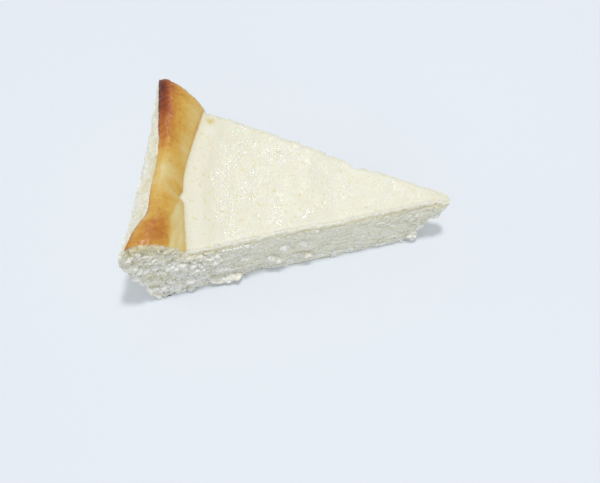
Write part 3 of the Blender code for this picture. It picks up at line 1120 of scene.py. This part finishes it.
@dataclass
class TornFlakes:
    """Small flakes and crumbs that cling to the torn faces, joined into one piece for each face."""

    form: SliceForm
    torn: TornCurd
    lumps: Lumps = Lumps()
    floor_gap: float = 0.12 * MM
    highest: float = 0.96
    highest_on_wall: float = 0.93
    wall_height: float = 30.0 * MM
    wall_half_width: float = 42.0 * MM
    wall_reach: float = 41.0 * MM

    def placed(
        self,
        scatter: Scatter,
        drawn: dict[str, np.ndarray],
        centres: np.ndarray,
        turn: float,
        warm: np.ndarray,
    ) -> Flakes:
        """Makes a scatter's lumps at their centres.

        Args:
            scatter: The scatter that they were drawn from.
            drawn: What was drawn for each lump.
            centres: One row for each lump.
            turn: How far the face that carries them is turned about Z.
            warm: The warmth of each lump.

        Returns:
            The lumps.
        """
        sizes = np.stack([drawn["length"], drawn["depth"], drawn["tall"]], axis=1)
        turns = np.stack([drawn["turn_y"], drawn["turn_z"] + turn], axis=1)
        return self.lumps.points(centres, sizes, turns, scatter.seed + 5), drawn["tone"], warm

    def on_cut(self, scatter: Scatter, side: Side) -> Flakes:
        """Lays rows of lumps on a cut face, each lump on the torn surface and sunk by a share of its depth.

        Args:
            scatter: How many lumps there are, how large, and where.
            side: The cut face.

        Returns:
            The lumps.
        """
        drawn = scatter.draw()
        low, high = scatter.along
        along = (low + (high - low) * drawn["place"]) * MM + drawn["aside"]
        across = np.full(len(along), float(side.value))
        top = self.form.top(along, across)
        height = drawn["up"] * top + drawn["above"]
        share = np.clip(height / top, 0.0, self.highest)
        along = np.minimum(along, self.form.wall_distance(across, share) - 0.5 * MM)
        along = np.maximum(along, self.form.tip_break.at(share) * MM + 0.3 * MM)
        out = self.torn.outward(along, share * top, top - share * top, side) - scatter.sink * drawn["depth"]
        out -= self.form.dent(along, across, share * top, top)
        y = self.form.middle_y + side.value * (self.form.half_width(along) + out)
        centres = np.stack([self.form.tip_x - along, y, share * top], axis=1)
        # Some of the lumps just under the rim are warm, picked by their own turns.
        warm = bump(top - share * top, 6.0 * MM) * smooth(self.form.band(along, across) / 0.5 + 0.5)
        warm = warm * smooth(0.5 + 2.0 * drawn["turn_z"])
        return self.placed(scatter, drawn, centres, -side.value * self.form.half_angle, warm)

    def on_wall(self, scatter: Scatter) -> Flakes:
        """Lays rows of lumps on the outer wall, evenly across it and up to just below the browned rim.

        Args:
            scatter: How many lumps there are, how large, and how far up.

        Returns:
            The lumps.
        """
        drawn = scatter.draw()
        share = np.clip(drawn["up"] + drawn["above"] / self.wall_height, 0.0, self.highest_on_wall)
        y = (2.0 * drawn["place"] - 1.0) * self.wall_reach + drawn["aside"]
        across = np.clip(y / self.wall_half_width, -0.99, 0.99)
        height = share * self.form.top(self.form.rim_outer.at(across) * MM, across)
        along = self.form.wall_distance(across, share)
        y = across * self.form.half_width(along)
        along = along + self.torn.wall_outward(y, height) - scatter.sink * drawn["depth"]
        centres = np.stack([self.form.tip_x - along, self.form.middle_y + y, height], axis=1)
        return self.placed(scatter, drawn, centres, 0.5 * np.pi, np.zeros(len(share)))

    def build(
        self, name: str, groups: list[Flakes], material: bpy.types.Material, hold: SliceBody
    ) -> bpy.types.Object:
        """One face's flakes as a piece.

        Args:
            name: The piece's name.
            groups: The face's groups of flakes.
            material: The torn curd that they are made of.
            hold: The body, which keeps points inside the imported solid's box.

        Returns:
            The piece.
        """
        points, tones, warmths = (np.concatenate(parts) for parts in zip(*groups))
        points[..., 2] = np.maximum(points[..., 2], self.floor_gap)
        joined, faces = self.lumps.mesh(points)
        # The warmth of the lumps under the rim, a real yellowing, shares its mask with the painted shade of
        # the body and crags.
        masks = {"tone": np.repeat(tones, points.shape[1]), "painted_shade_and_warmth": np.repeat(warmths, points.shape[1])}
        piece = piece_from(name, hold.inside_box(joined), faces, masks)
        attach(piece, material)
        return piece


# Materials.


@dataclass
class Sheet:
    """A node tree under construction."""

    tree: bpy.types.NodeTree

    def add(
        self, kind: str, inputs: dict[str | int, Value] | None = None, **settings: object
    ) -> bpy.types.Node:
        """Adds a node, sets its options and feeds its inputs.

        Args:
            kind: The node's type, without the words ShaderNode in front.
            inputs: A number, a colour or another node's socket for each input, by name or place.
            settings: The node's options.

        Returns:
            The node.
        """
        node = self.tree.nodes.new(kind if kind.startswith("Node") else "ShaderNode" + kind)
        for option, choice in settings.items():
            setattr(node, option, choice)
        for name, value in (inputs or {}).items():
            self.feed(node.inputs[name], value)
        return node

    def feed(self, socket: Socket, value: Value) -> None:
        """Links a socket to another node's, or sets it to a number or a colour."""
        if isinstance(value, bpy.types.NodeSocket):
            self.tree.links.new(value, socket)
        elif isinstance(value, tuple) and len(socket.default_value) == 4:
            socket.default_value = (*value, 1.0)
        else:
            socket.default_value = value

    def mask(self, name: str) -> Socket:
        """The numbers that a piece stores under a name."""
        return self.add("Attribute", attribute_name=name).outputs["Fac"]

    def mix(self, share: Value, first: Value, second: Value) -> Socket:
        """A colour between two, by a share from 0 to 1."""
        return self.add("Mix", {0: share, 6: first, 7: second}, data_type="RGBA").outputs[2]

    def blend(self, share: Value, first: Value, second: Value) -> Socket:
        """A number between two, by a share from 0 to 1."""
        return self.add("Mix", {0: share, 2: first, 3: second}, data_type="FLOAT").outputs[0]

    def sum(self, first: Value, second: Value) -> Socket:
        """Two numbers added."""
        return self.add("Math", {0: first, 1: second}, operation="ADD").outputs[0]

    def product(self, *factors: Value) -> Socket:
        """Two or more numbers multiplied."""
        total = factors[0]
        for factor in factors[1:]:
            total = self.add("Math", {0: total, 1: factor}, operation="MULTIPLY").outputs[0]
        return total

    def step(self, value: Value, low: float, high: float) -> Socket:
        """A smooth step from 0 to 1 between two values. It falls if low is the higher."""
        inputs = {"Value": value, "From Min": low, "From Max": high}
        return self.add("MapRange", inputs, interpolation_type="SMOOTHSTEP").outputs[0]

    def noise(self, place: Socket, size: float, detail: float = 2.0) -> Socket:
        """Noise from 0 to 1 whose features have about the given size in metres."""
        inputs = {"Vector": place, "Scale": 1.0 / size, "Detail": detail, "Roughness": 0.55}
        return self.add("TexNoise", inputs).outputs[0]

    def group(self, group: bpy.types.NodeTree, inputs: dict[str, Value]) -> bpy.types.Node:
        """Places a shared group and feeds it."""
        node = self.add("Group", node_tree=group)
        for name, value in inputs.items():
            self.feed(node.inputs[name], value)
        return node

    def bumped(
        self, height: Socket, distance: float, strength: float, below: Socket | None = None
    ) -> Socket:
        """A normal raised by a height times a distance, on top of another normal if there is one."""
        inputs: dict[str | int, Value] = {"Height": height, "Distance": distance, "Strength": strength}
        if below is not None:
            inputs["Normal"] = below
        return self.add("Bump", inputs).outputs["Normal"]


def new_group(
    name: str, inputs: dict[str, Kind], outputs: dict[str, Kind]
) -> tuple[Sheet, dict[str, Socket]]:
    """An empty shared node group.

    Args:
        name: Its name.
        inputs: The kind of each input.
        outputs: The kind of each output.

    Returns:
        The sheet to build it on, and the sockets that its inputs arrive at.
    """
    tree = bpy.data.node_groups.new(name, "ShaderNodeTree")
    for socket, kind in inputs.items():
        tree.interface.new_socket(name=socket, in_out="INPUT", socket_type=kind.value)
    for socket, kind in outputs.items():
        tree.interface.new_socket(name=socket, in_out="OUTPUT", socket_type=kind.value)
    sheet = Sheet(tree)
    arriving = sheet.add("NodeGroupInput").outputs
    return sheet, {socket: arriving[socket] for socket in inputs}


def close_group(sheet: Sheet, results: dict[str, Socket]) -> bpy.types.NodeTree:
    """Joins a group's results to its outputs.

    Args:
        sheet: The sheet that the group was built on.
        results: The socket that feeds each output.

    Returns:
        The finished group.
    """
    leaving = sheet.add("NodeGroupOutput")
    for name, socket in results.items():
        sheet.feed(leaving.inputs[name], socket)
    return sheet.tree


def curd_grain_group() -> bpy.types.NodeTree:
    """The fine grain of set curd, shared by every finish.

    Returns:
        A group with Place in, and Height, Mottle and Fleck out: the height of fine grains, slow patches of
        lighter and darker curd, and sparse yellowish flecks.
    """
    sheet, arriving = new_group(
        "curd_grain",
        {"Place": Kind.VECTOR},
        {"Height": Kind.NUMBER, "Mottle": Kind.NUMBER, "Fleck": Kind.NUMBER},
    )
    place = arriving["Place"]
    cells = sheet.add("TexVoronoi", {"Vector": place, "Scale": 1.0 / (1.1 * MM)}, feature="SMOOTH_F1")
    grains = sheet.step(cells.outputs["Distance"], 0.75, 0.1)
    height = sheet.blend(0.45, sheet.noise(place, 0.9 * MM, 4.0), grains)
    mottle = sheet.noise(place, 7.0 * MM, 3.0)
    fleck = sheet.step(sheet.noise(place, 2.1 * MM, 1.5), 0.61, 0.71)
    return close_group(sheet, {"Height": height, "Mottle": mottle, "Fleck": fleck})


def pin_pore_group() -> bpy.types.NodeTree:
    """Small round pores in a baked skin.

    Returns:
        A group with Place, Spacing and Share in, and Pore out: 1 in the middle of a pore and 0 outside. The
        share is that of the cells that have a pore at all.
    """
    sheet, arriving = new_group(
        "pin_pores",
        {"Place": Kind.VECTOR, "Spacing": Kind.NUMBER, "Share": Kind.NUMBER},
        {"Pore": Kind.NUMBER},
    )
    scale = sheet.add("Math", {0: 1.0, 1: arriving["Spacing"]}, operation="DIVIDE").outputs[0]
    cells = sheet.add("TexVoronoi", {"Vector": arriving["Place"], "Scale": scale})
    drawn = sheet.add("SeparateColor", {0: cells.outputs["Color"]}).outputs[0]
    picked = sheet.add("Math", {0: drawn, 1: arriving["Share"]}, operation="LESS_THAN").outputs[0]
    round_spot = sheet.step(cells.outputs["Distance"], 0.26, 0.10)
    return close_group(sheet, {"Pore": sheet.product(round_spot, picked)})


@dataclass(frozen=True)
class Finish:
    """What every finish of this slice shares: how light passes into the curd, and how strong its relief is.
    """

    name: str
    scatter_share: float = 0.35
    scatter_distance: float = 0.7 * MM
    scatter_radius: Size = (1.0, 0.85, 0.6)
    relief_strength: float = 0.9

    def start(self) -> tuple[Sheet, bpy.types.Node, Socket, bpy.types.Material]:
        """A new material with its shader.

        Returns:
            The sheet, the shader, the place on the object, and the material.
        """
        material = bpy.data.materials.new(self.name)
        material.use_nodes = True
        sheet = Sheet(material.node_tree)
        shader = material.node_tree.nodes["Principled BSDF"]
        shader.inputs["Subsurface Weight"].default_value = self.scatter_share
        shader.inputs["Subsurface Radius"].default_value = self.scatter_radius
        shader.inputs["Subsurface Scale"].default_value = self.scatter_distance
        place = sheet.add("TexCoord").outputs["Object"]
        return sheet, shader, place, material


@dataclass(frozen=True)
class Zones:
    """The sockets that say where each kind of surface lies on the body, each from 0 to 1 but for the band."""

    band: Socket
    skin: Socket
    on_rim: Socket
    warm_line: Socket
    under_rim: Socket


@dataclass(frozen=True)
class BakedCurd(Finish):
    """The slice's own finish: ivory skin, white torn curd and the browned skin of the rim."""

    name: str = "baked_curd"
    ivory: Colour = linear(241, 240, 223)
    ivory_deep: Colour = linear(239, 235, 211)
    fleck: Colour = linear(228, 222, 164)
    stain: Colour = linear(221, 200, 126)
    torn: Colour = linear(250, 248, 231)
    # Torn curd in the crevices, darker and yellower: painted shade.
    torn_painted_shade: Colour = linear(213, 203, 148)
    warm: Colour = linear(232, 224, 188)
    yellowed: Colour = linear(228, 213, 158)
    # The browned skin's colours, by the share of browning.
    browned: tuple[tuple[float, Colour], ...] = (
        (0.0, linear(238, 230, 196)),
        (0.16, linear(230, 212, 150)),
        (0.36, linear(221, 178, 78)),
        (0.54, linear(203, 136, 44)),
        (0.72, linear(174, 90, 20)),
        (0.88, linear(134, 56, 10)),
        (1.0, linear(92, 32, 6)),
    )
    # Each pair of roughnesses is for damp and dry patches.
    skin_roughness: Range = (0.11, 0.28)
    skin_by_rim: float = 0.42
    skin_by_cut: float = 0.55
    torn_roughness: float = 0.5
    rim_roughness: Range = (0.22, 0.42)
    facet_size: float = 0.7 * MM
    relief_depth: float = 0.3 * MM
    pore_spacing: float = 2.4 * MM
    pore_share: float = 0.22
    pore_depth: float = 0.08 * MM

    def zones(self, sheet: Sheet, place: Socket) -> Zones:
        """Reads the body's masks and makes their borders ragged with noise.

        Args:
            sheet: The material's sheet.
            place: The place on the object.

        Returns:
            The zones.
        """
        ragged = sheet.sum(sheet.noise(place, 1.5 * MM, 3.0), -0.5)
        inset = sheet.sum(sheet.mask("inset"), sheet.product(ragged, 1.6))
        below = sheet.sum(sheet.mask("below"), sheet.product(ragged, 0.5))
        band = sheet.sum(sheet.mask("band"), sheet.product(ragged, 0.035))
        on_top = sheet.step(below, 0.75, 0.25)
        line = sheet.product(sheet.step(below, 0.45, 0.9), sheet.step(below, 3.4, 1.0))
        off_wall = sheet.step(band, 0.98, 0.84)
        return Zones(
            band=band,
            skin=sheet.product(sheet.step(inset, 0.45, 1.0), on_top),
            on_rim=sheet.product(sheet.step(band, 0.0, 0.03), sheet.step(inset, -0.2, 0.25), on_top),
            warm_line=sheet.product(line, sheet.step(sheet.noise(place, 4.0 * MM), 0.25, 0.65)),
            under_rim=sheet.product(sheet.step(below, 9.0, 0.8), sheet.step(band, 0.1, 0.6), off_wall),
        )

    def browned_colour(self, sheet: Sheet, amount: Socket) -> Socket:
        """The colour of browned skin.

        Args:
            sheet: The material's sheet.
            amount: The share of browning, from 0 to 1.

        Returns:
            The colour's socket.
        """
        ramp = sheet.add("ValToRGB", {0: amount})
        stops = ramp.color_ramp.elements
        while len(stops) < len(self.browned):
            stops.new(0.5)
        for stop, (place, colour) in zip(stops, self.browned):
            stop.position = place
            stop.color = (*colour, 1.0)
        return ramp.outputs["Color"]

    def pale_colour(self, sheet: Sheet, zones: Zones, fine: bpy.types.NodeOutputs, pore: Socket) -> Socket:
        """The colour of the slab's skin and of the torn curd.

        Args:
            sheet: The material's sheet.
            zones: Where each kind of surface lies.
            fine: What the shared grain puts out.
            pore: The shared pores.

        Returns:
            The colour's socket.
        """
        patchy = sheet.step(fine["Mottle"], 0.35, 0.72)
        top = sheet.mix(sheet.product(patchy, 0.45), self.ivory, self.ivory_deep)
        top = sheet.mix(sheet.product(sheet.step(zones.band, -0.16, 0.0), 0.5), top, self.warm)
        for spots in (fine["Fleck"], pore):
            top = sheet.mix(sheet.product(spots, 0.6), top, self.fleck)
        top = sheet.mix(sheet.mask("stain"), top, self.stain)
        torn = sheet.mix(sheet.product(zones.warm_line, 0.9), self.torn, self.warm)
        torn = sheet.mix(sheet.product(zones.under_rim, 0.6), torn, self.yellowed)
        # Painted shade: the crevices between the crags are darker and yellower.
        torn = sheet.mix(sheet.product(sheet.mask("painted_shade_and_warmth"), 0.8), torn, self.torn_painted_shade)
        return sheet.mix(zones.skin, torn, top)

    def roughness(self, sheet: Sheet, zones: Zones, mottle: Socket) -> Socket:
        """The roughness: damp patches on the slab, fewer by the rim and by the cuts, and dull torn curd.

        Args:
            sheet: The material's sheet.
            zones: Where each kind of surface lies.
            mottle: The slow patches of the shared grain.

        Returns:
            The roughness's socket.
        """
        skin = sheet.blend(sheet.step(mottle, 0.36, 0.62), *self.skin_roughness)
        skin = sheet.blend(sheet.step(zones.band, -0.9, -0.3), skin, self.skin_by_rim)
        skin = sheet.blend(sheet.step(sheet.mask("inset"), 3.0, 1.2), skin, self.skin_by_cut)
        rough = sheet.blend(zones.skin, self.torn_roughness, skin)
        return sheet.blend(zones.on_rim, rough, sheet.blend(mottle, *self.rim_roughness))

    def normal(self, sheet: Sheet, zones: Zones, place: Socket, height: Socket, pore: Socket) -> Socket:
        """The fine relief: calm facets on the skin, which sparkle, grains on torn curd, and pores.

        Args:
            sheet: The material's sheet.
            zones: Where each kind of surface lies.
            place: The place on the object.
            height: The height of the shared grain.
            pore: The shared pores.

        Returns:
            The normal's socket.
        """
        facets = sheet.noise(place, self.facet_size, 0.5)
        relief = sheet.blend(zones.skin, sheet.product(height, 3.0), sheet.product(facets, 0.57))
        relief = sheet.blend(zones.on_rim, relief, sheet.product(sheet.sum(facets, height), 0.5))
        normal = sheet.bumped(relief, self.relief_depth, self.relief_strength)
        return sheet.bumped(sheet.sum(1.0, sheet.product(pore, -1.0)), self.pore_depth, 0.6, normal)

    def build(self, grain_group: bpy.types.NodeTree, pores: bpy.types.NodeTree) -> bpy.types.Material:
        """The material.

        Args:
            grain_group: The shared grain of curd.
            pores: The shared pores of baked skin.

        Returns:
            The finished material.
        """
        sheet, shader, place, material = self.start()
        zones = self.zones(sheet, place)
        fine = sheet.group(grain_group, {"Place": place}).outputs
        spread = {"Place": place, "Spacing": self.pore_spacing, "Share": self.pore_share}
        pore = sheet.group(pores, spread).outputs["Pore"]
        browning = sheet.mask("browning")
        freckle = sheet.sum(sheet.product(sheet.noise(place, 1.7 * MM, 4.0), 0.36), -0.18)
        amount = sheet.sum(browning, sheet.product(freckle, sheet.step(browning, 0.1, 0.5)))
        pale = self.pale_colour(sheet, zones, fine, pore)
        colour = sheet.mix(zones.on_rim, pale, self.browned_colour(sheet, amount))
        sheet.feed(shader.inputs["Base Color"], colour)
        sheet.feed(shader.inputs["Roughness"], self.roughness(sheet, zones, fine["Mottle"]))
        sheet.feed(shader.inputs["Normal"], self.normal(sheet, zones, place, fine["Height"], pore))
        return material


@dataclass(frozen=True)
class LooseCurd(Finish):
    """The finish of crags, flakes and crumbs: white curd, each with its own tone."""

    name: str = "loose_curd"
    scatter_share: float = 0.0
    bright: Colour = linear(253, 254, 249)
    dull: Colour = linear(243, 240, 221)
    # Mixed in for flecks, for the warmth of lumps under the rim, and as painted shade on the crags' cores.
    deep: Colour = linear(226, 211, 156)
    rough_range: Range = (0.18, 0.4)
    relief_depth: float = 0.4 * MM

    def build(self, grain_group: bpy.types.NodeTree) -> bpy.types.Material:
        """The material.

        Args:
            grain_group: The shared grain of curd.

        Returns:
            The finished material.
        """
        sheet, shader, place, material = self.start()
        fine = sheet.group(grain_group, {"Place": place}).outputs
        colour = sheet.mix(sheet.mask("tone"), self.dull, self.bright)
        # Real warmth on the lumps under the rim, and painted shade on the crags' cores.
        colour = sheet.mix(sheet.product(sheet.mask("painted_shade_and_warmth"), 0.85), colour, self.deep)
        colour = sheet.mix(sheet.product(fine["Fleck"], 0.25), colour, self.deep)
        sheet.feed(shader.inputs["Base Color"], colour)
        sheet.feed(shader.inputs["Roughness"], sheet.blend(fine["Mottle"], *self.rough_range))
        normal = sheet.bumped(fine["Height"], self.relief_depth, self.relief_strength)
        sheet.feed(shader.inputs["Normal"], normal)
        return material


# The stage.


@dataclass(frozen=True)
class AreaLight:
    """A soft rectangular light that looks at the slice."""

    name: str
    azimuth: float
    elevation: float
    distance: float
    size: Pair
    watts: float
    colour: Colour = (1.0, 1.0, 1.0)
    highlights_only: bool = False

    def build(self, target: Vector) -> None:
        """Places the light at its angle and distance from the target, facing it."""
        data = bpy.data.lights.new(self.name, "AREA")
        data.shape = "RECTANGLE"
        data.size, data.size_y = self.size
        data.energy = self.watts
        data.color = self.colour
        light = bpy.data.objects.new(self.name, data)
        light.visible_diffuse = not self.highlights_only
        light.location = target + direction(self.azimuth, self.elevation) * self.distance
        light.rotation_euler = (light.location - target).to_track_quat("Z", "Y").to_euler()
        bpy.context.scene.collection.objects.link(light)


def direction(azimuth: float, elevation: float) -> Vector:
    """The way from the slice to a viewer who looks along +Y at azimuth 0, in degrees."""
    turn, lift = math.radians(azimuth), math.radians(elevation)
    flat = math.cos(lift)
    return Vector((math.sin(turn) * flat, -math.cos(turn) * flat, math.sin(lift)))


@dataclass(frozen=True)
class Studio:
    """A pale floor, soft light and the camera at the photograph's angle."""

    azimuth: float = 4.5
    elevation: float = 55.04
    distance: float = 0.363
    # The camera looks at this place on the floor, measured from under the tip.
    look_from_tip: Pair = (-59.31 * MM, -11.09 * MM)
    frame_pixels: int = 600
    focal_pixels: float = 877.0
    sensor: float = 36.0
    nearest: float = 0.01
    floor_size: float = 6.0
    floor_drop: float = 0.05 * MM
    floor_roughness: float = 0.45
    floor_shine: float = 0.1
    floor_colour: Colour = linear(237, 243, 250)
    sky: Colour = (0.985, 0.99, 1.0)
    sky_strength: float = 0.575
    lights: tuple[AreaLight, ...] = field(
        default_factory=lambda: (
            AreaLight("ceiling", 112.0, 86.0, 1.5, (0.2, 0.18), 7.9),
            AreaLight("front", 5.0, 14.0, 1.6, (1.1, 0.4), 1.36),
            AreaLight("side", 268.0, 12.0, 1.6, (0.8, 0.5), 1.9),
            AreaLight("lamp", 181.3, 52.3, 1.6, (0.035, 0.03), 1.9, highlights_only=True),
        )
    )

    def build_camera(self, tip: Vector) -> None:
        """The camera, at the fitted angle, distance and focal length.

        Args:
            tip: The point on the floor under the slice's tip.
        """
        data = bpy.data.cameras.new("camera")
        data.sensor_width = self.sensor
        data.lens = self.sensor * self.focal_pixels / self.frame_pixels
        data.clip_start = self.nearest
        camera = bpy.data.objects.new("camera", data)
        target = tip + Vector((*self.look_from_tip, 0.0))
        back = direction(self.azimuth, self.elevation)
        camera.location = target + back * self.distance
        camera.rotation_euler = back.to_track_quat("Z", "Y").to_euler()
        bpy.context.scene.collection.objects.link(camera)
        bpy.context.scene.camera = camera

    def build_floor(self) -> None:
        """A large plain floor, just under the plane that the slice rests on."""
        half = 0.5 * self.floor_size
        corners = np.array([[-half, -half, 0.0], [half, -half, 0.0], [half, half, 0.0], [-half, half, 0.0]])
        corners[:, 2] = -self.floor_drop
        floor = piece_from("floor", corners, [[0, 1, 2, 3]])
        material = bpy.data.materials.new("floor")
        material.use_nodes = True
        shader = material.node_tree.nodes["Principled BSDF"]
        shader.inputs["Base Color"].default_value = (*self.floor_colour, 1.0)
        shader.inputs["Roughness"].default_value = self.floor_roughness
        shader.inputs["Specular IOR Level"].default_value = self.floor_shine
        floor.data.materials.append(material)

    def build_sky(self) -> None:
        """Even pale light from all round."""
        world = bpy.data.worlds.new("sky")
        world.use_nodes = True
        background = world.node_tree.nodes["Background"]
        background.inputs["Color"].default_value = (*self.sky, 1.0)
        background.inputs["Strength"].default_value = self.sky_strength
        bpy.context.scene.world = world

    def build(self, tip: Vector) -> None:
        """The whole stage.

        Args:
            tip: The point on the floor under the slice's tip.
        """
        self.build_camera(tip)
        self.build_floor()
        self.build_sky()
        for light in self.lights:
            light.build(Vector((0.0, 0.0, 0.0)))
        bpy.context.scene.view_settings.view_transform = "Standard"


NEAR_SCATTERS = (
    # Large flakes by the rim.
    Scatter(
        rows=28, per_row=5, length=(1.9, 3.6), depth=(0.6, 0.95), flatness=(0.34, 0.52),
        along=(88, 120), up=(0.04, 0.8), crowd=0.9, sink=-0.08, tone=(0.8, 1.0), seed=298,
    ),
    # Rows of flakes from the rim to the middle.
    Scatter(
        rows=66, per_row=5, length=(1.3, 2.6), depth=(0.75, 1.05), flatness=(0.4, 0.66),
        along=(78, 120), up=(0.05, 0.88), crowd=0.75, sink=-0.02, tone=(0.4, 1.0), seed=300,
    ),
    # Small flakes on the smeared middle.
    Scatter(
        rows=40, per_row=4, length=(0.9, 2.0), depth=(0.65, 1.0), flatness=(0.35, 0.6),
        along=(12, 80), up=(0.10, 0.86), crowd=1.0, sink=0.08, tone=(0.4, 1.0), seed=304,
    ),
    # Single crumbs all over.
    Scatter(
        rows=420, per_row=1, length=(0.4, 1.15), depth=(0.7, 1.0), flatness=(0.5, 0.9),
        along=(8, 118), up=(0.03, 0.94), crowd=0.95, sink=0.05, tone=(0.6, 1.0), seed=310,
    ),
    # Flakes along the foot.
    Scatter(
        rows=66, per_row=5, length=(0.8, 1.6), depth=(0.8, 1.2), flatness=(0.4, 0.7),
        along=(14, 80), up=(0.01, 0.14), crowd=1.0, sink=-0.06, tone=(0.8, 1.0), seed=320,
    ),
    # Flakes round the foot of the rim's end.
    Scatter(
        rows=24, per_row=5, length=(1.2, 2.8), depth=(0.9, 1.3), flatness=(0.35, 0.6),
        along=(93, 118), up=(0.01, 0.2), crowd=1.0, sink=-0.1, tone=(0.8, 1.0), seed=322,
    ),
)
FAR_SCATTERS = (
    # Rows of flakes.
    Scatter(
        rows=90, per_row=6, length=(1.2, 2.4), depth=(0.7, 1.0), flatness=(0.45, 0.75),
        along=(18, 119), up=(0.05, 0.92), crowd=0.8, sink=0.15, tone=(0.4, 1.0), seed=330,
    ),
    # Single crumbs.
    Scatter(
        rows=220, per_row=1, length=(0.5, 1.3), depth=(0.7, 1.0), flatness=(0.6, 0.9),
        along=(13, 118), up=(0.03, 0.94), crowd=0.8, sink=0.1, tone=(0.6, 1.0), seed=340,
    ),
)
WALL_SCATTER = Scatter(
    rows=90, per_row=5, length=(1.2, 2.3), depth=(0.7, 1.0), flatness=(0.5, 0.8),
    along=(0, 0), up=(0.02, 0.92), crowd=1.0, sink=0.2, tone=(0.4, 1.0), seed=350,
)


def main() -> None:
    """Builds the slice piece by piece, then the stage, and reports each."""
    logging.basicConfig(level=logging.INFO, format="%(message)s")
    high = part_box(NODE)[1]
    form, torn = SliceForm(tip_x=high.x), TornCurd()
    grain_group, pores = curd_grain_group(), pin_pore_group()
    baked, loose = BakedCurd().build(grain_group, pores), LooseCurd().build(grain_group)

    body = SliceBody(form, torn, Browning())
    pieces = [body.build(baked), StandingCrags(form).build(loose, body)]
    flakes = TornFlakes(form, torn)
    near = [flakes.on_cut(scatter, Side.NEAR) for scatter in NEAR_SCATTERS]
    far = [flakes.on_cut(scatter, Side.FAR) for scatter in FAR_SCATTERS]
    pieces.append(flakes.build("near_cut_flakes", near, loose, body))
    pieces.append(flakes.build("far_cut_flakes", far, loose, body))
    pieces.append(flakes.build("wall_flakes", [flakes.on_wall(WALL_SCATTER)], loose, body))
    for piece in pieces:
        LOG.info("%s: %d points, %d faces", piece.name, len(piece.data.vertices), len(piece.data.polygons))

    Studio().build(Vector((high.x, 0.0, 0.0)))
    bpy.context.view_layer.update()


if __name__ == "__main__":
    main()
